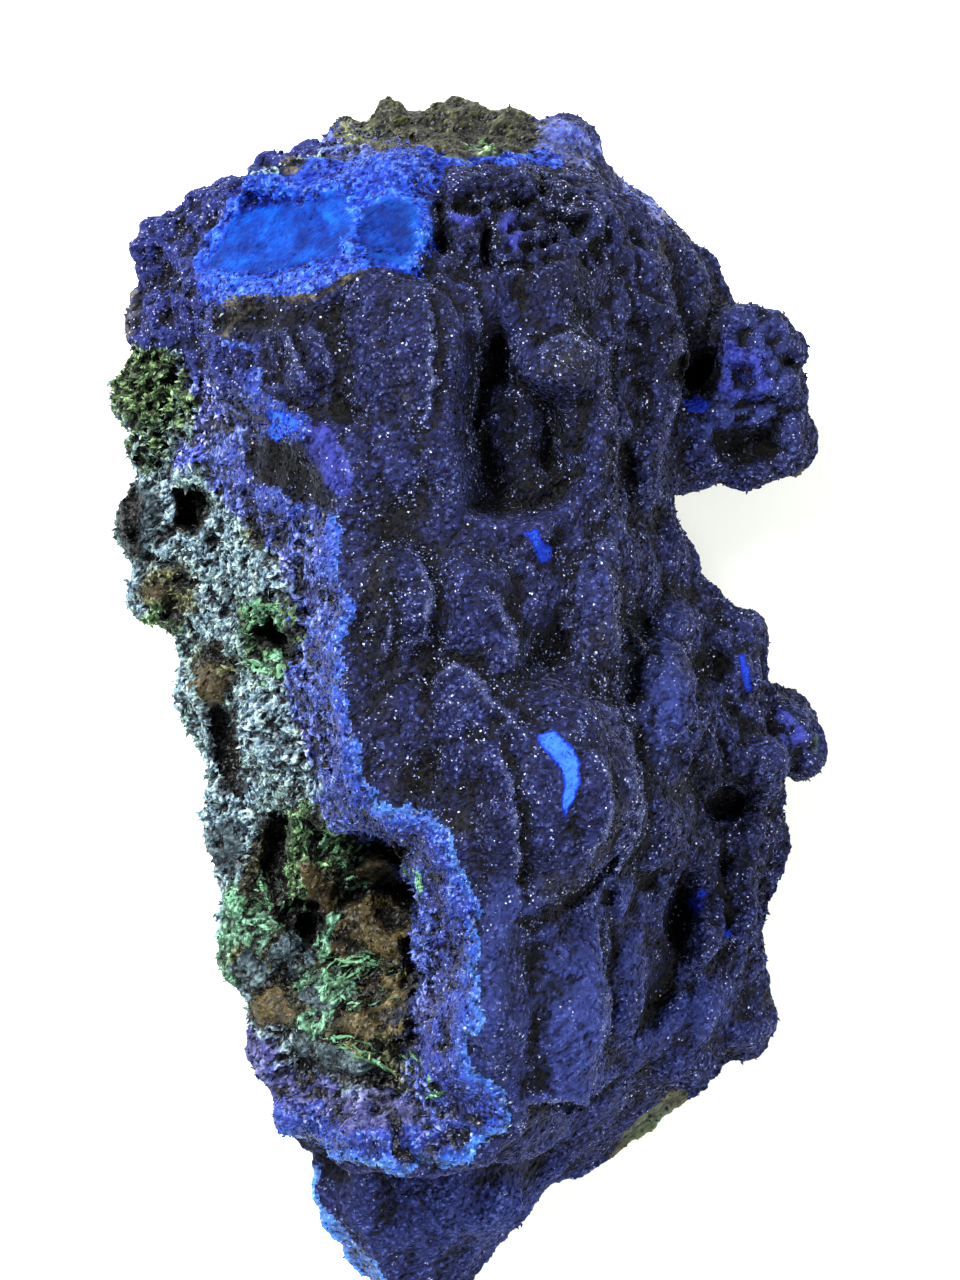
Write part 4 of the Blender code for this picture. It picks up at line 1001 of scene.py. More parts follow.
def slotOfFaces(mesh, points, zones):
    # Each face takes the mineral that has the strongest hold on its first corner
    weights = np.zeros((len(points), len(slots)))
    weights[:, slots.index("azuriteVelvet")] = zones["crust"] + 0.01
    weights[:, slots.index("limoniteRock")] = zones["under"]
    weights[:, slots.index("brokenRock")] = zones["broken"]
    for slot, names in slotOrder:
        for name in names:
            weights *= (1 - zones[name])[:, None]
            weights[:, slots.index(slot)] += zones[name]
    best = weights.argmax(axis=1)
    corners = readAll(mesh.loops, "vertex_index", kind=np.int64)
    starts = readAll(mesh.polygons, "loop_start", kind=np.int64)
    return best[corners[starts]]


def biggestPart(thing):
    # Voxels can leave loose crumbs and closed bubbles: only the largest connected part stays
    mesh = thing.data
    a, b = edgeEnds(mesh)
    label = np.arange(len(mesh.vertices))
    while True:
        low = np.minimum(label[a], label[b])
        new = label.copy()
        np.minimum.at(new, a, low)
        np.minimum.at(new, b, low)
        new = new[new]
        if (new == label).all():
            break
        label = new
    most = np.bincount(label).argmax()
    made = bmesh.new()
    made.from_mesh(mesh)
    made.verts.ensure_lookup_table()
    loose = [made.verts[i] for i in np.flatnonzero(label != most)]
    bmesh.ops.delete(made, geom=loose, context="VERTS")
    made.to_mesh(mesh)
    made.free()
    return thing


def addAttribute(mesh, name, values):
    layer = mesh.attributes.new(name, "FLOAT", "POINT")
    layer.data.foreach_set("value", np.asarray(values, np.float32))


def makeBody():
    thing = remeshed(copyOfNode(), body["formVoxel"])
    soften = thing.modifiers.new("soften", "SMOOTH")
    soften.iterations = body["softening"]
    thing = baked(thing)
    points, normals = meshArrays(thing.data)
    print("forms:", len(points), "points")
    putPoints(thing.data, kept(growForms(points, normals)))
    print("forms shaped")
    thing = biggestPart(remeshed(thing, body["skinVoxel"]))
    points, normals = meshArrays(thing.data)
    print("skin:", len(points), "points")
    moved, zones = growSkin(points, normals)
    putPoints(thing.data, kept(moved))
    points, normals = meshArrays(thing.data)
    crease, hollow = creasesOf(thing.data, points, normals, body["creaseRounds"])
    lit, gap = crustEdges(points)
    # Painted highlight along the rims and lips, and painted shadow just outside the lips
    zones["edge"] = lit * zones["crust"]
    zones["shadow"] = np.maximum(zones["shadow"], 0.4 * gap * zones["crust"])
    # Depth under the crust along the broken edge, palest at the foot, and how far out from the pockets
    y = points[:, 1]
    depth = -zones["toEdge"] / 6 + 0.1 * smoothStep(y, -8, 0) + 0.14 * smoothStep(y, 14, 18)
    plan = ragged(points, 0.4, 1.4, 35)
    pockets = [signedDistance(plan, outlines[name]) for name in ("pocketLarge", "pocketSmall")]
    inside = np.maximum(*pockets)
    around = np.maximum(zones["pocketRim"], zones["topRimBlue"])
    depth = np.where(around > 0.5, -inside / 3.5, depth)
    depth = np.where(zones["topViolet"] > 0.5, 1, np.where(zones["sliver"] > 0.5, 0.4, depth))
    facets = (zones["lens"], zones["facetTriangle"], 0.7 * zones["knobLight"], zones["facets"])
    layers = {
        "crease": np.clip(crease * body["creaseGain"] + 0.5, 0, 1),
        "hollow": np.clip(hollow * body["hollowGain"] + 0.5, 0, 1),
        "edge": zones["edge"],
        "hazeAndSheen": zones["hazeAndSheen"] * zones["crust"],
        # Valleys take a dark brown-olive: partly brown dust, partly painted shade
        "stainAndShade": np.maximum(zones["valley"], zones["darkOlive"]),
        "net": zones["net"],
        "shadow": zones["shadow"],
        "earth": zones["earth"],
        "layer": np.clip(depth, 0, 1),
    }
    layers.update({name: zones[name] * (1 - zones["crust"]) for name in stains})
    layers.update({
        "fresh": zones["inner"], "violet": zones["violetCrust"], "azure": zones["azure"], "tan": zones["tan"],
        "facet": np.maximum.reduce(facets), "mint": zones["mintEdge"], "lit": zones["pocket"],
    })
    for name, values in layers.items():
        addAttribute(thing.data, name, values)
    thing.data.polygons.foreach_set("material_index", slotOfFaces(thing.data, points, zones).astype(np.int32))
    return thing, zones


def partedBody(thing, materials):
    # Planes across the length part the closed mesh into closed pieces that meet exactly
    pieces = []
    levels = (None,) + body["cuts"] + (None,)
    for name, top, bottom in zip(body["names"], levels, levels[1:]):
        made = bmesh.new()
        made.from_mesh(thing.data)
        for level, way in ((top, 1), (bottom, -1)):
            if level is not None:
                geometry = made.verts[:] + made.edges[:] + made.faces[:]
                cut = bmesh.ops.bisect_plane(
                    made, geom=geometry, plane_co=(0, level * mm, 0), plane_no=(0, way, 0), clear_outer=True
                )
                rim = [part for part in cut["geom_cut"] if isinstance(part, bmesh.types.BMEdge)]
                caps = bmesh.ops.holes_fill(made, edges=rim, sides=0)["faces"]
                bmesh.ops.triangulate(made, faces=caps, ngon_method="EAR_CLIP")
        mesh = bpy.data.meshes.new(name)
        made.to_mesh(mesh)
        made.free()
        for material in materials:
            mesh.materials.append(material)
        pieces.append(inScene(name, mesh))
        print("piece", name, len(mesh.vertices), "points")
    bpy.data.objects.remove(thing)
    return pieces


def colour(hexCode):
    # sRGB hex to linear
    parts = [int(hexCode[i:i + 2], 16) / 255 for i in (0, 2, 4)]
    return tuple(p / 12.92 if p <= 0.04045 else ((p + 0.055) / 1.055) ** 2.4 for p in parts) + (1,)


mixedColours = {"data_type": "RGBA"}
multipliedColours = {"data_type": "RGBA", "blend_type": "MULTIPLY"}


def addNode(tree, kind, settings=None, stops=(), give="", **inputs):
    # A node of this kind, with its settings and a ramp's pairs of place and hex colour. Each input takes a
    # value, the socket that feeds it or an attribute's name. The output asked for comes back, or the first
    node = tree.nodes.new("ShaderNode" + kind)
    for name, value in (settings or {}).items():
        setattr(node, name, value)
    for n, (place, code) in enumerate(stops):
        elements = node.color_ramp.elements
        if n == len(elements):
            elements.new(1.0)
        elements[n].position = place
        elements[n].color = colour(code)
    for name, value in inputs.items():
        socket = node.inputs[int(name[1:]) if name[1:].isdigit() else name.replace("_", " ")]
        if isinstance(value, str):
            value = addNode(tree, "Attribute", {"attribute_name": value}, give="Fac")
        if isinstance(value, bpy.types.NodeSocket):
            tree.links.new(value, socket)
        else:
            socket.default_value = value
    return next((socket for socket in node.outputs if socket.enabled and give in ("", socket.name)), None)


def newMaterial(name):
    material = bpy.data.materials.new(name)
    material.use_nodes = True
    tree = material.node_tree
    tree.nodes.clear()
    place = addNode(tree, "TexCoord", give="Object")
    return material, tree, place


def finished(tree, **inputs):
    surface = addNode(tree, "BsdfPrincipled", **inputs)
    addNode(tree, "OutputMaterial", Surface=surface)
    return surface.node


def perMm(size):
    # A texture's scale for a pattern of this size, as Object coordinates are metres
    return 1 / (size * mm)


def facetNormal(tree, place, size, tilt):
    # Each cell of this size leans its own way, as the faces of tiny crystals do
    cells = addNode(tree, "TexVoronoi", {"feature": "F1"}, give="Color", Vector=place, Scale=perMm(size))
    lean = addNode(tree, "VectorMath", {"operation": "SUBTRACT"}, i0=cells, i1=(0.5, 0.5, 0.5))
    lean = addNode(tree, "VectorMath", {"operation": "SCALE"}, i0=lean, Scale=tilt)
    normal = addNode(tree, "NewGeometry", give="Normal")
    total = addNode(tree, "VectorMath", {"operation": "ADD"}, i0=normal, i1=lean)
    return addNode(tree, "VectorMath", {"operation": "NORMALIZE"}, i0=total), cells


def shaded(tree, base, stops):
    # Painted shade: the colour made darker in creases, in hollows and where the shadow attribute is high, as
    # if the light were shut out there: the four shades are for an edge, the flat, a crease and a deep crease
    deep = addNode(tree, "ValToRGB", stops=tuple(zip((0.2, 0.5, 0.72, 0.95), stops)), Fac="crease")
    shade = addNode(tree, "Mix", multipliedColours, i0=1.0, i6=base, i7=deep)
    sunk = addNode(
        tree, "ValToRGB", stops=((0.45, "ffffff"), (0.75, "a8a8b0"), (0.95, "38383e"), (1.0, "101014")),
        Fac="hollow"
    )
    shade = addNode(tree, "Mix", multipliedColours, i0=1.0, i6=shade, i7=sunk)
    paintedShadow = addNode(
        tree, "ValToRGB", stops=((0.0, "ffffff"), (0.4, "686870"), (0.75, "1c1c20"), (1.0, "040405")),
        Fac="shadow"
    )
    return addNode(tree, "Mix", multipliedColours, i0=1.0, i6=shade, i7=paintedShadow)


def azuriteVelvet():
    # Druse of dark azurite crystals a quarter of a millimetre across: a velvety indigo, with painted shade in
    # its creases and painted glints, single pale cells in the base colour, where a few faces would catch
    # light
    material, tree, place = newMaterial("azuriteVelvet")
    normal, cells = facetNormal(tree, place, 0.24, 1.0)
    grain = addNode(tree, "SeparateColor", Color=cells)
    speck = addNode(
        tree, "ValToRGB", stops=((0.0, "03040a"), (0.5, "0e1230"), (0.85, "252d68"), (0.96, "5460a4")),
        Fac=grain
    )
    cloud = addNode(tree, "TexNoise", Vector=place, Scale=perMm(5), Detail=5.0, Roughness=0.6)
    tone = addNode(tree, "ValToRGB", stops=((0.34, "060718"), (0.5, "12163a"), (0.66, "222650")), Fac=cloud)
    base = addNode(tree, "Mix", mixedColours, i0=0.5, i6=speck, i7=tone)
    # Lighter grey-blue in the haze spots: partly a paler dusting of fine crystals, partly painted sheen
    hazed = addNode(
        tree, "Mix", mixedColours, i0="hazeAndSheen", i6=base,
        i7=addNode(tree, "Mix", mixedColours, i0=0.4, i6=colour("2e3b7c"), i7=speck)
    )
    violet = addNode(
        tree, "Mix", mixedColours, i0="violet", i6=hazed,
        i7=addNode(tree, "Mix", mixedColours, i0=0.45, i6=colour("20286a"), i7=speck)
    )
    # Larger crystal faces in a brighter violet-blue: partly their colour, partly a painted highlight
    violet = addNode(
        tree, "Mix", mixedColours,
        i0=addNode(tree, "ValToRGB", stops=((0.2, "000000"), (0.6, "c8c8c8")), Fac="facet"), i6=violet,
        i7=colour("363e9e")
    )
    # Painted highlight: the rims and the lips of the laps turn a greyer blue, broken up by noise
    edge = addNode(tree, "Attribute", {"attribute_name": "edge"}, give="Fac")
    pale = addNode(tree, "ValToRGB", stops=((0.1, "000000"), (0.5, "505050"), (0.95, "d8d8d8")), Fac=edge)
    highlightBreaks = addNode(tree, "TexNoise", Vector=place, Scale=perMm(0.9), Detail=4.0, Roughness=0.65)
    pale = addNode(
        tree, "Mix", multipliedColours, i0=1.0, i6=pale,
        i7=addNode(tree, "ValToRGB", stops=((0.4, "303030"), (0.6, "ffffff")), Fac=highlightBreaks)
    )
    rimmed = addNode(tree, "Mix", mixedColours, i0=pale, i6=violet, i7=colour("666e94"))
    # Dark brown-olive in the valleys and hollows: partly brown dust, partly painted shade
    dustAndShade = addNode(tree, "ValToRGB", stops=((0.51, "000000"), (0.66, "c0c0c0")), Fac="hollow")
    dustAndShade = addNode(tree, "Math", {"operation": "MAXIMUM"}, i0=dustAndShade, i1="stainAndShade")
    stained = addNode(
        tree, "Mix", mixedColours, i0=dustAndShade, i6=rimmed,
        i7=addNode(tree, "Mix", mixedColours, i0=0.3, i6=colour("25241b"), i7=speck)
    )
    earthy = addNode(
        tree, "ValToRGB", stops=((0.38, "1a180f"), (0.5, "3e3a2a"), (0.62, "6c664c"), (0.74, "98937a")),
        Fac=addNode(tree, "TexNoise", Vector=place, Scale=perMm(1.2), Detail=5.0)
    )
    stained = addNode(
        tree, "Mix", mixedColours,
        i0=addNode(tree, "ValToRGB", stops=((0.3, "000000"), (0.7, "d8d8d8")), Fac="tan"), i6=stained,
        i7=earthy
    )
    stained = addNode(
        tree, "Mix", mixedColours,
        i0=addNode(tree, "ValToRGB", stops=((0.2, "000000"), (0.8, "b0b0b0")), Fac="mint"), i6=stained,
        i7=colour("4c6c5c")
    )
    shade = shaded(tree, stained, ("ffffff", "c8c8d0", "64646c", "1a1a20"))
    # Painted glints: single cells take a pale base colour and a lower roughness. They are rare on the
    # flats, thick on the rims and none down in the creases
    proud = addNode(tree, "MapRange", Value="crease", i1=0.2, i2=0.62, i3=0.95, i4=1.0)
    flock = addNode(tree, "TexNoise", Vector=place, Scale=perMm(1.8), Detail=3.0, Roughness=0.6)
    patchy = addNode(tree, "MapRange", Value=flock, i1=0.44, i2=0.7, i3=0.04, i4=-0.09)
    least = addNode(tree, "Math", {"operation": "ADD"}, i0=proud, i1=patchy)
    least = addNode(tree, "Math", {"operation": "MULTIPLY_ADD"}, i0="hazeAndSheen", i1=0.03, i2=least)
    lively = addNode(tree, "Math", {"operation": "MULTIPLY"}, i0="violet", i1=0.35)
    lively = addNode(tree, "Math", {"operation": "MAXIMUM"}, i0=edge, i1=lively)
    least = addNode(tree, "Math", {"operation": "MULTIPLY_ADD"}, i0=lively, i1=-0.24, i2=least)
    sparks = addNode(tree, "TexVoronoi", {"feature": "F1"}, give="Color", Vector=place, Scale=perMm(0.14))
    spark = addNode(tree, "SeparateColor", Color=sparks).node.outputs
    glint = addNode(tree, "Math", {"operation": "GREATER_THAN"}, i0=spark[1], i1=least)
    shade = addNode(
        tree, "Mix", mixedColours, i0=glint, i6=shade,
        i7=addNode(
            tree, "ValToRGB", stops=((0.0, "1e2448"), (0.5, "3c4470"), (0.85, "6c749e"), (1.0, "b8c0d8")),
            Fac=spark[2]
        )
    )
    # Where a chip is off, the azure under the skin shows
    broken = addNode(tree, "TexNoise", Vector=place, Scale=perMm(0.9), Detail=6.0, Roughness=0.7)
    shown = addNode(tree, "Math", {"operation": "MULTIPLY_ADD"}, i0=broken, i1=0.8, i2="azure")
    bare = addNode(tree, "ValToRGB", stops=((0.76, "000000"), (0.88, "ffffff")), Fac=shown)
    azure = addNode(
        tree, "ValToRGB", stops=((0.4, "060e48"), (0.6, "081c80"), (0.82, "0c30a8"), (1.0, "2c60c0")),
        Fac=addNode(tree, "Math", {"operation": "SUBTRACT"}, i0=shown, i1=0.4)
    )
    shade = addNode(tree, "Mix", mixedColours, i0=bare, i6=shade, i7=azure)
    gloss = addNode(tree, "MapRange", Value=glint, i1=0.0, i2=1.0, i3=0.7, i4=0.4)
    shader = finished(tree, Base_Color=shade, Roughness=gloss, Normal=normal)
    shader.inputs["Specular IOR Level"].default_value = 0.13
    shader.inputs["Sheen Weight"].default_value = 0.14
    shader.inputs["Sheen Roughness"].default_value = 0.3
    shader.inputs["Sheen Tint"].default_value = colour("8c94c8")
    return material


def azuriteFresh():
    # The crust's broken edge: a fine sugary layer, palest on the outside, with glints off the crystals' faces
    material, tree, place = newMaterial("azuriteFresh")
    normal, cells = facetNormal(tree, place, 0.26, 1.1)
    grain = addNode(tree, "SeparateColor", Color=cells)
    speck = addNode(
        tree, "ValToRGB", stops=((0.0, "0c1448"), (0.45, "1c3490"), (0.8, "2c52b4"), (0.95, "88acf0")),
        Fac=grain
    )
    cloud = addNode(tree, "TexNoise", Vector=place, Scale=perMm(1.2), Detail=6.0, Roughness=0.7)
    wave = addNode(tree, "Math", {"operation": "MULTIPLY_ADD"}, i0=cloud, i1=0.3, i2=-0.15)
    depth = addNode(tree, "Math", {"operation": "ADD"}, i0="layer", i1=wave)
    tone = addNode(
        tree, "ValToRGB",
        stops=(
            (0.0, "58a0f4"), (0.07, "3c80e4"), (0.16, "2050b8"), (0.32, "1c3290"), (0.55, "26328c"),
            (0.8, "2c3870"), (1.0, "4a54a0")
        ),
        Fac=depth
    )
    base = addNode(tree, "Mix", mixedColours, i0=0.55, i6=speck, i7=tone)
    light = addNode(tree, "ValToRGB", stops=((0.35, "6a6a78"), (0.55, "ffffff"), (0.75, "ffffff")), Fac=cloud)
    base = addNode(tree, "Mix", multipliedColours, i0=1.0, i6=base, i7=light)
    shade = shaded(tree, base, ("ffffff", "c8c8d8", "50526c", "14151f"))
    gloss = addNode(tree, "MapRange", Value=grain, i1=0.0, i2=1.0, i3=0.6, i4=0.25)
    shader = finished(tree, Base_Color=shade, Roughness=gloss, Normal=normal)
    shader.inputs["Specular IOR Level"].default_value = 0.4
    return material


def azuritePocket():
    # The bright blue lining of the pockets at the top end, silky and cloudy, and the coarse layer round it
    material, tree, place = newMaterial("azuritePocket")
    normal, cells = facetNormal(tree, place, 0.3, 0.5)
    cloud = addNode(tree, "TexNoise", Vector=place, Scale=perMm(2.6), Detail=7.0, Roughness=0.62)
    tone = addNode(
        tree, "ValToRGB", stops=((0.3, "011c60"), (0.45, "022e7c"), (0.6, "03449e"), (0.76, "0c60b8")),
        Fac=cloud
    )
    coarse = addNode(tree, "TexNoise", Vector=place, Scale=perMm(1.2), Detail=6.0, Roughness=0.7)
    seamed = addNode(
        tree, "ValToRGB",
        stops=((0.34, "051040"), (0.45, "0c2c94"), (0.55, "1a50c0"), (0.66, "3c78d8"), (0.78, "6c9ce8")),
        Fac=coarse
    )
    outer = addNode(
        tree, "ValToRGB",
        stops=((0.36, "060a2c"), (0.48, "1c2a7c"), (0.58, "3042a8"), (0.68, "5466c4"), (0.8, "949cdc")),
        Fac=coarse
    )
    seamed = addNode(
        tree, "Mix", mixedColours,
        i0=addNode(tree, "ValToRGB", stops=((0.12, "000000"), (0.6, "d0d0d0")), Fac="layer"), i6=seamed,
        i7=outer
    )
    fine = addNode(tree, "SeparateColor", Color=cells)
    seamed = addNode(
        tree, "Mix", mixedColours, i0=0.25, i6=seamed,
        i7=addNode(tree, "ValToRGB", stops=((0.0, "040c34"), (0.6, "183890"), (0.95, "80a8f0")), Fac=fine)
    )
    tone = addNode(tree, "Mix", mixedColours, i0="lit", i6=seamed, i7=tone)
    # Painted shade: darker in the creases and where the shadow attribute is high
    deep = addNode(
        tree, "ValToRGB", stops=((0.35, "ffffff"), (0.6, "b8bce0"), (0.85, "404880")), Fac="crease"
    )
    shade = addNode(tree, "Mix", multipliedColours, i0=1.0, i6=tone, i7=deep)
    paintedShadow = addNode(
        tree, "ValToRGB", stops=((0.0, "ffffff"), (0.4, "686870"), (0.75, "1c1c20")), Fac="shadow"
    )
    shade = addNode(tree, "Mix", multipliedColours, i0=1.0, i6=shade, i7=paintedShadow)
    shader = finished(tree, Base_Color=shade, Normal=normal)
    shader.inputs["Roughness"].default_value = 0.6
    shader.inputs["Specular IOR Level"].default_value = 0.06
    return material


def brokenRock():
    # Broken mass under the crust: dark blue, steel-blue and pale grey-green grains a third of a millimetre
    # across, with earthy, mossy, rusty, verdigris, slate and ultramarine patches
    material, tree, place = newMaterial("brokenRock")
    normal, cells = facetNormal(tree, place, 0.3, 1.0)
    grain = addNode(tree, "SeparateColor", Color=cells)
    grained = addNode(tree, "Mapping", Vector=place, Rotation=(0, 0, 0.4), Scale=(1, 0.5, 1))
    cloud = addNode(tree, "TexNoise", Vector=grained, Scale=perMm(0.6), Detail=7.0, Roughness=0.75)
    mixed = addNode(tree, "Math", {"operation": "MULTIPLY_ADD"}, i0=grain, i1=0.3, i2=cloud)
    # Darker in the pits of the net and paler on its crests: partly the rock's grain, partly painted shade
    crest = addNode(tree, "MapRange", Value="net", i1=0.0, i2=1.0, i3=-0.22, i4=-0.05)
    mixed = addNode(tree, "Math", {"operation": "ADD"}, i0=mixed, i1=crest)
    base = addNode(
        tree, "ValToRGB",
        stops=((0.26, "080e1c"), (0.36, "28394e"), (0.46, "5a788a"), (0.57, "86a2aa"), (0.7, "b4cac0")),
        Fac=mixed
    )
    wide = addNode(tree, "TexNoise", Vector=place, Scale=perMm(6), Detail=4.0)
    green = addNode(tree, "ValToRGB", stops=((0.46, "000000"), (0.6, "a8a8a8")), Fac=wide)
    base = addNode(
        tree, "Mix", mixedColours, i0=green, i6=base,
        i7=addNode(tree, "ValToRGB", stops=((0.28, "0a120a"), (0.44, "304a34"), (0.66, "8cac88")), Fac=mixed)
    )
    # The smooth kinds vary over millimetres, the rest grain by grain
    slow = addNode(tree, "TexNoise", Vector=place, Scale=perMm(2.6), Detail=4.0)
    calm = addNode(tree, "Mix", mixedColours, i0=0.35, i6=slow, i7=mixed)
    kinds = (
        ("earth", ((0.28, "040502"), (0.42, "121308"), (0.54, "222310"), (0.65, "3a3c1c"), (0.78, "5a5a30"))),
        ("olive", ((0.26, "060803"), (0.38, "22260f"), (0.5, "464a26"), (0.62, "747850"), (0.74, "a0a87c"))),
        ("moss", ((0.26, "050a04"), (0.38, "162610"), (0.5, "2e5026"), (0.62, "68905c"), (0.74, "a4c498"))),
        ("rust", ((0.2, "070602"), (0.36, "1e190b"), (0.5, "3a3117"), (0.68, "6a5c38"))),
        ("verdigris", ((0.26, "0a140c"), (0.38, "28442e"), (0.52, "46765a"), (0.66, "88bc9c"))),
        ("slate", ((0.26, "05070b"), (0.38, "172228"), (0.52, "34464e"), (0.68, "6c8486"))),
        (
            "ultra",
            (
                (0.28, "0a0f2c"), (0.38, "222a70"), (0.46, "3044b4"), (0.54, "545eb0"), (0.64, "a0aae8"),
                (0.74, "eef4ff")
            )
        ),
        ("fresh", ((0.28, "070c28"), (0.4, "1a2660"), (0.53, "2c469c"), (0.68, "7c8cd0"))),
        ("dusk", ((0.28, "0c0e24"), (0.4, "262a5a"), (0.52, "42447c"), (0.66, "8084b4"), (0.76, "d0d4ec"))),
    )
    for name, stops in kinds:
        share = addNode(tree, "ValToRGB", stops=((0.2, "000000"), (0.5, "ffffff")), Fac=name)
        pattern = calm if name in ("rust", "slate", "dusk") else mixed
        base = addNode(
            tree, "Mix", mixedColours, i0=share, i6=base,
            i7=addNode(tree, "ValToRGB", stops=stops, Fac=pattern)
        )
    shade = shaded(tree, base, ("ffffff", "d4d4d8", "707278", "1c1e22"))
    shader = finished(tree, Base_Color=shade, Normal=normal)
    shader.inputs["Roughness"].default_value = 0.5
    shader.inputs["Specular IOR Level"].default_value = 0.35
    return material


def malachite():
    # Spongy and fibrous green growth: pale walls round dark green cells
    material, tree, place = newMaterial("malachite")
    normal = facetNormal(tree, place, 0.3, 0.8)[0]
    cloud = addNode(tree, "TexNoise", Vector=place, Scale=perMm(1.1), Detail=7.0, Roughness=0.75)
    crest = addNode(tree, "MapRange", Value="net", i1=0.0, i2=1.0, i3=-0.16, i4=0.04)
    mixed = addNode(tree, "Math", {"operation": "ADD"}, i0=cloud, i1=crest)
    tone = addNode(
        tree, "ValToRGB",
        stops=((0.28, "0a1006"), (0.4, "2a3a20"), (0.5, "506a3e"), (0.62, "94b486"), (0.74, "ccdec0")),
        Fac=mixed
    )
    vivid = addNode(
        tree, "Mix", mixedColours, i0="verdigris", i6=tone,
        i7=addNode(tree, "Mix", mixedColours, i0=0.7, i6=tone, i7=colour("7cc49c"))
    )
    shade = shaded(tree, vivid, ("ffffff", "c4c6b8", "34382a", "080a06"))
    shader = finished(tree, Base_Color=shade, Normal=normal)
    shader.inputs["Roughness"].default_value = 0.6
    shader.inputs["Specular IOR Level"].default_value = 0.3
    return material


def limoniteRock():
    # Iron-stained matrix: earthy browns and olives with rusty spots
    material, tree, place = newMaterial("limoniteRock")
    normal = facetNormal(tree, place, 0.45, 0.8)[0]
    cloud = addNode(tree, "TexNoise", Vector=place, Scale=perMm(2.4), Detail=6.0, Roughness=0.7)
    tone = addNode(
        tree, "ValToRGB", stops=((0.3, "12100a"), (0.44, "2a2416"), (0.58, "4a3e26"), (0.74, "706040")),
        Fac=cloud
    )
    wide = addNode(tree, "TexNoise", Vector=place, Scale=perMm(5), Detail=4.0)
    green = addNode(tree, "ValToRGB", stops=((0.46, "000000"), (0.6, "ffffff")), Fac=wide)
    greened = addNode(
        tree, "Mix", mixedColours, i0=green, i6=tone,
        i7=addNode(tree, "Mix", mixedColours, i0=0.6, i6=tone, i7=colour("3e5a34"))
    )
    shade = shaded(tree, greened, ("ffffff", "e0dcd4", "4a4438", "0c0a08"))
    shader = finished(tree, Base_Color=shade, Normal=normal)
    shader.inputs["Roughness"].default_value = 0.75
    return material


def floorPaper():
    # Matt white paper
    material, tree = newMaterial("floorPaper")[:2]
    shader = finished(tree, Base_Color=colour("f6f8f0"))
    shader.inputs["Roughness"].default_value = 0.9
    return material


grains = {
    # mm: half the length, width and depth of the biggest crystal, how far its middle stands out, how much it
    # leans, and the least size as a share of that
    "druse": {
        "length": 0.3, "width": 0.16, "depth": 0.11, "lift": 0.06, "lean": 0.7, "least": 0.35, "count": 9000
    },
    "rimCrystals": {
        "length": 0.32, "width": 0.15, "depth": 0.1, "lift": 0.08, "lean": 0.8, "least": 0.4, "count": 4000
    },
    "rockBlades": {
        "length": 0.55, "width": 0.2, "depth": 0.05, "lift": 0.1, "lean": 1.2, "least": 0.3, "count": 10000
    },
}


room = {
    "cameraAt": (0.9, 4.8, 300.0),     # mm, straight above
    "lens": 92.6,
    "floor": 3.0,                      # m
    "world": 0.35,
    "lights": (                        # name, place in mm, watts, size in mm
        ("key", (-260, 300, 420), 9.0, 260),
        ("fill", (320, -180, 360), 3.4, 320),
    ),
}


def picked(thing, weights, count, seed):
    # Places on the object's skin, taken at random by weight: the points, the normals and the attributes there
    random = np.random.default_rng(seed)
    points, normals = meshArrays(thing.data)
    weights = np.clip(weights, 0, None)
    chosen = random.choice(len(points), count, replace=False, p=weights / weights.sum())
    values = {}
    for layer in thing.data.attributes:
        if layer.data_type == "FLOAT" and layer.domain == "POINT":
            values[layer.name] = readAll(layer.data, "value", kind=np.float32)[chosen]
    return points[chosen], normals[chosen], values


def crystals(name, points, normals, values, form, material, seed):
    # Stretched octahedra, each with its long axis leaning at random from the normal: the six corners lie at
    # plus and minus length c, width a and width b along three axes square to each other
    random = np.random.default_rng(seed)
    count = len(points)
    c = normals + form["lean"] * random.normal(size=(count, 3))
    c /= np.linalg.norm(c, axis=1)[:, None]
    a = np.cross(c, random.normal(size=(count, 3)))
    a /= np.linalg.norm(a, axis=1)[:, None]
    b = np.cross(c, a)
    scale = random.uniform(form["least"], 1, count)[:, None] ** 1.5
    middle = points + normals * form["lift"] * scale
    offsets = (
        form["length"] * c, -form["length"] * c, form["width"] * a, -form["width"] * a, form["depth"] * b,
        -form["depth"] * b
    )
    corners = np.stack([middle + scale * offset for offset in offsets], axis=1)
    faces = np.array(((0, 2, 4), (0, 4, 3), (0, 3, 5), (0, 5, 2), (1, 4, 2), (1, 3, 4), (1, 5, 3), (1, 2, 5)))
    faces = (faces[None] + 6 * np.arange(count)[:, None, None]).reshape(-1, 3)
    mesh = bpy.data.meshes.new(name)
    mesh.from_pydata((kept(corners.reshape(-1, 3)) * mm).tolist(), [], faces.tolist())
    for label, found in values.items():
        addAttribute(mesh, label, np.repeat(found, 6))
    mesh.materials.append(material)
    print("piece", name, count, "crystals")
    return inScene(name, mesh)


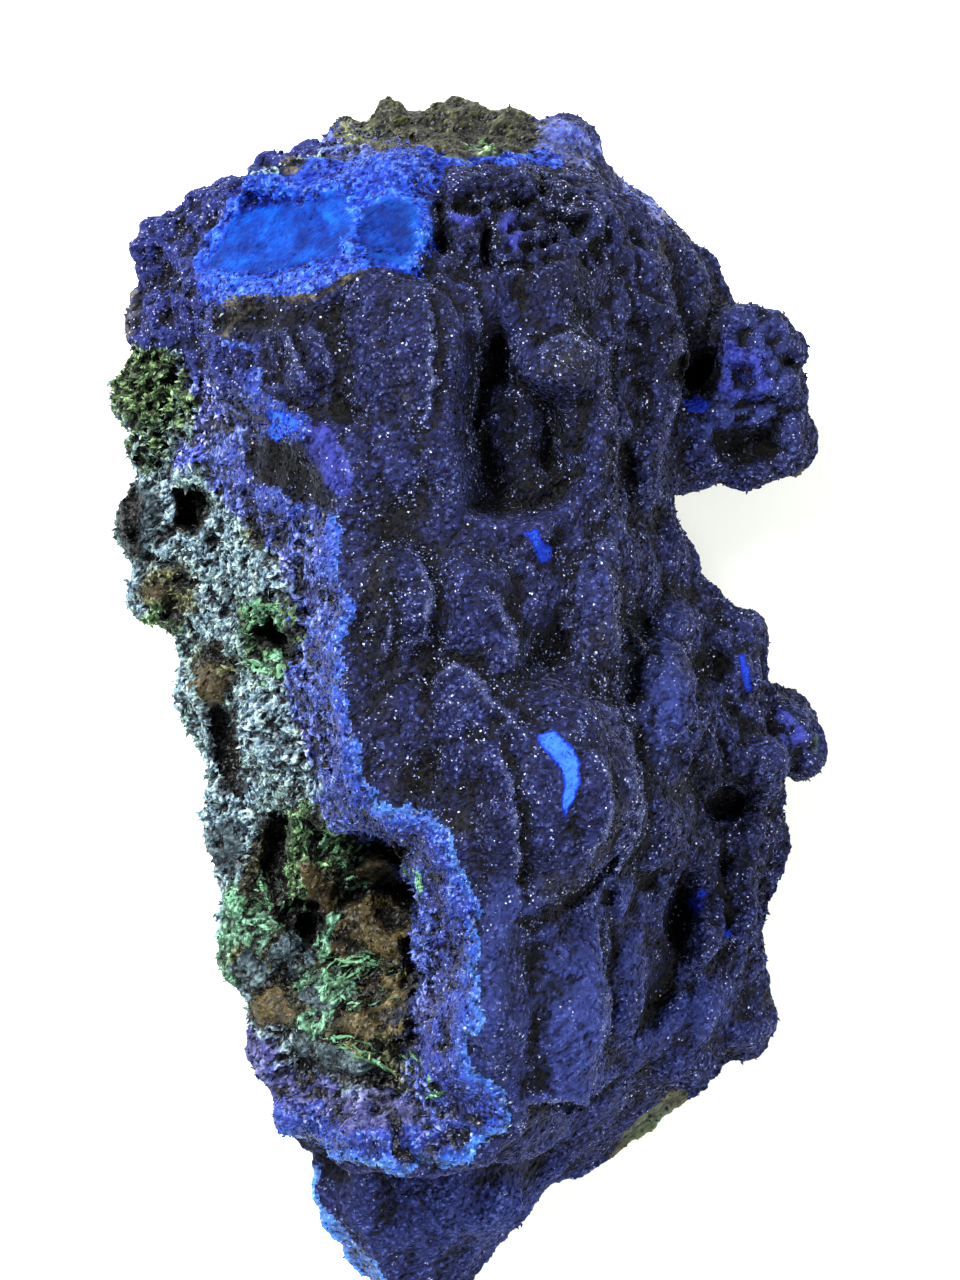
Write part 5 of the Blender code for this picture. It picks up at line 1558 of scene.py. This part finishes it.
threads = {
    # Plan of each strand of fibrous malachite over the cavity at the foot and round the green patch
    "paths": (
        ((-13, -15), (-11.5, -15.3), (-10, -15.8), (-8.5, -16), (-7, -16.2), (-5.5, -15.8), (-4.7, -14.7)),
        ((-7, -13.5), (-5.5, -13.5), (-4.7, -14.3), (-4.6, -15.5), (-5, -17.5)),
        ((-11, -15), (-10.5, -14), (-9.5, -13.5), (-8.5, -13)),
        ((-16, -19), (-15.5, -18), (-14.5, -17), (-13.5, -17.5), (-13.7, -18.5)),
        ((-18, -15.5), (-17.5, -17), (-17, -18), (-18, -19)),
        ((-13, -18.3), (-13.3, -19.5), (-13, -21), (-13.4, -22)),
        ((-13, -26), (-11.5, -24.5), (-10, -23.5), (-8.5, -23), (-6, -22.7)),
        ((-14.5, -24), (-13, -23), (-10.5, -22.5), (-8.5, -22.3), (-6, -22)),
        ((-10.5, -26.5), (-9, -26), (-7.5, -25.5), (-5.5, -25.5)),
        ((-20, -18), (-19, -17.5), (-18, -18), (-18, -19)),
        ((-13.5, -8.5), (-14, -10.5), (-14, -12), (-14.5, -14)),
        ((-11.5, -9.5), (-12, -11), (-12, -13), (-13, -14)),
        ((-18.5, 5), (-18, 6.5), (-16.5, 7), (-14.5, 6.5), (-14, 5)),
        ((-19.5, 3.5), (-18, 2.5), (-16.5, 2), (-15, 3), (-14.5, 4)),
        ((-5.5, -29.3), (-4, -30.6), (-2.7, -32), (-4.5, -32.3)),
        ((-12.5, -29), (-10, -29.3), (-8, -30.3), (-6, -31.5)),
    ),
    "copies": 13,         # strands side by side along each
    "stray": 0.4,         # mm, how far a copy wanders from the plan
    "radius": 0.17,       # mm, at the middle; the ends are a third of it
    "steps": 14,
    "sides": 5,
    "lift": 0.08,         # mm, the middle above the rock
    "drop": 2,            # mm, a copy that would climb more than this is left out
    "share": (0.12, 0.3),     # how much of the path a copy covers
    "lastStart": 0.7,     # the share of the path before which it starts
    "rayFrom": 60,        # mm, above everything
    "missed": 15,         # mm, the height where no rock lies under the path
}


def strands(name, skin, material, seed):
    # A round profile carried along each path: ring n is centred on the path at n / steps and its radius is
    # r (1/3 + 2/3 sin(pi t)) with noise. The path lies on the skin, found by looking straight down
    random = np.random.default_rng(seed)
    corners, faces, paleness = [], [], []
    steps, sides = threads["steps"], threads["sides"]
    share = np.linspace(0, 1, steps)
    turns = np.linspace(0, 2 * math.pi, sides, endpoint=False)
    cosines, sines = np.cos(turns)[None, :, None], np.sin(turns)[None, :, None]
    for path in threads["paths"]:
        bends = np.array(path, float)
        reach = np.concatenate([[0], np.cumsum(np.linalg.norm(np.diff(bends, axis=0), axis=1))])
        for copy in range(threads["copies"]):
            start = random.uniform(0, threads["lastStart"])
            end = start + random.uniform(*threads["share"])
            along = (start + share * (end - start)) * reach[-1]
            plan = np.column_stack([np.interp(along, reach, bends[:, axis]) for axis in range(2)])
            wander = random.normal(size=2) * threads["stray"]
            probe = np.column_stack([plan, np.full(steps, copy * 7.0)])
            curl = np.column_stack([roughNoise(probe, 1.1, seed + axis, 2) for axis in range(2)])
            plan = plan + wander + 0.5 * curl
            heights = []
            for x, y in plan:
                hit, place = skin.ray_cast(Vector((x, y, threads["rayFrom"])) * mm, Vector((0, 0, -1)))[:2]
                heights.append(place.z / mm if hit else threads["missed"])
            if max(heights) - min(heights) > threads["drop"]:
                continue
            paleness.append(random.uniform(0, 1))
            smoothed = np.convolve(np.pad(heights, 2, "edge"), np.ones(5) / 5, "valid")
            line = np.column_stack([plan, smoothed + threads["lift"]])
            ahead = np.gradient(line, axis=0)
            ahead /= np.linalg.norm(ahead, axis=1)[:, None]
            across = np.cross(ahead, (0, 0, 1))
            across /= np.linalg.norm(across, axis=1)[:, None]
            over = np.cross(across, ahead)
            radius = threads["radius"] * random.uniform(0.5, 1.2) * (1 / 3 + 2 / 3 * np.sin(math.pi * share))
            radius = radius * random.uniform(0.5, 1.5, steps)
            ring = cosines * across[:, None] + sines * over[:, None]
            rings = line[:, None] + radius[:, None, None] * ring
            base = len(corners) * steps * sides
            corners.append(rings.reshape(-1, 3))
            n, k = np.meshgrid(np.arange(steps - 1), np.arange(sides), indexing="ij")
            a, b = (n * sides + k).ravel(), (n * sides + (k + 1) % sides).ravel()
            walls = np.column_stack([a, b, b + sides, a + sides]) + base
            first = base + np.arange(sides)
            last = first + (steps - 1) * sides
            faces += walls.tolist() + [first[::-1].tolist(), last.tolist()]
    mesh = bpy.data.meshes.new(name)
    mesh.from_pydata((kept(np.concatenate(corners)) * mm).tolist(), [], faces)
    paleness = np.repeat(paleness, steps * sides)
    addAttribute(mesh, "net", paleness)
    addAttribute(mesh, "verdigris", 0.3 + 0.7 * paleness)
    addAttribute(mesh, "crease", 0.7 - 0.4 * paleness)
    mesh.materials.append(material)
    print("piece", name, len(mesh.vertices), "points")
    return inScene(name, mesh)


def makeRoom():
    camera = bpy.data.cameras.new("camera")
    camera.lens = room["lens"]
    camera.sensor_width = 36
    holder = inScene("camera", camera)
    holder.location = Vector(room["cameraAt"]) * mm
    bpy.context.scene.camera = holder
    half = room["floor"] / 2
    mesh = bpy.data.meshes.new("floor")
    corners = [(-half, -half, 0), (half, -half, 0), (half, half, 0), (-half, half, 0)]
    mesh.from_pydata(corners, [], [(0, 1, 2, 3)])
    mesh.materials.append(floorPaper())
    floor = inScene("floor", mesh)
    for name, place, watts, size in room["lights"]:
        light = bpy.data.lights.new(name, "AREA")
        light.energy = watts
        light.size = size * mm
        lamp = inScene(name, light)
        lamp.location = Vector(place) * mm
        lamp.rotation_euler = (-Vector(place)).to_track_quat("-Z", "Y").to_euler()
    world = bpy.data.worlds.new("studio")
    bpy.context.scene.world = world
    world.use_nodes = True
    background = world.node_tree.nodes["Background"]
    background.inputs["Color"].default_value = colour("f4f8ff")
    background.inputs["Strength"].default_value = room["world"]
    bpy.context.scene.view_settings.view_transform = "Standard"


makeRoom()
print("room made")
finishes = (azuriteVelvet(), azuriteFresh(), azuritePocket(), brokenRock(), malachite(), limoniteRock())
materials = dict(zip(slots, finishes))
specimen, zones = makeBody()
print("specimen made")
spread = {
    "druse": (
        zones["crust"] * (0.15 + 4 * zones["edge"] ** 2 + 0.4 * zones["wild"]) * (1 - zones["shadow"]),
        "azuriteVelvet"
    ),
    "rimCrystals": (
        np.maximum(zones["band"], 0.5 * zones["pocketRim"]) * (1 - zones["pocket"]), "azuriteFresh"
    ),
    "rockBlades": (
        zones["broken"] * zones["rock"] * (1 - 0.8 * zones["smooth"]) * (1 - zones["shadow"]), "brokenRock"
    ),
}
upward = 0.3 + smoothStep(meshArrays(specimen.data)[1][:, 2], -0.2, 0.3)
seeds = {"places": 200, "crystals": 210, "strands": 231}
pieces = []
for n, (name, (weights, finish)) in enumerate(spread.items()):
    points, normals, values = picked(specimen, weights * upward, grains[name]["count"], seeds["places"] + n)
    seed = seeds["crystals"] + n
    pieces.append(crystals(name, points, normals, values, grains[name], materials[finish], seed))
pieces.append(strands("malachiteStrands", specimen, materials["malachite"], seeds["strands"]))
pieces += partedBody(specimen, finishes)
for piece in pieces:
    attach(piece, "root")
    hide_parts(nodeName)
print("body made")
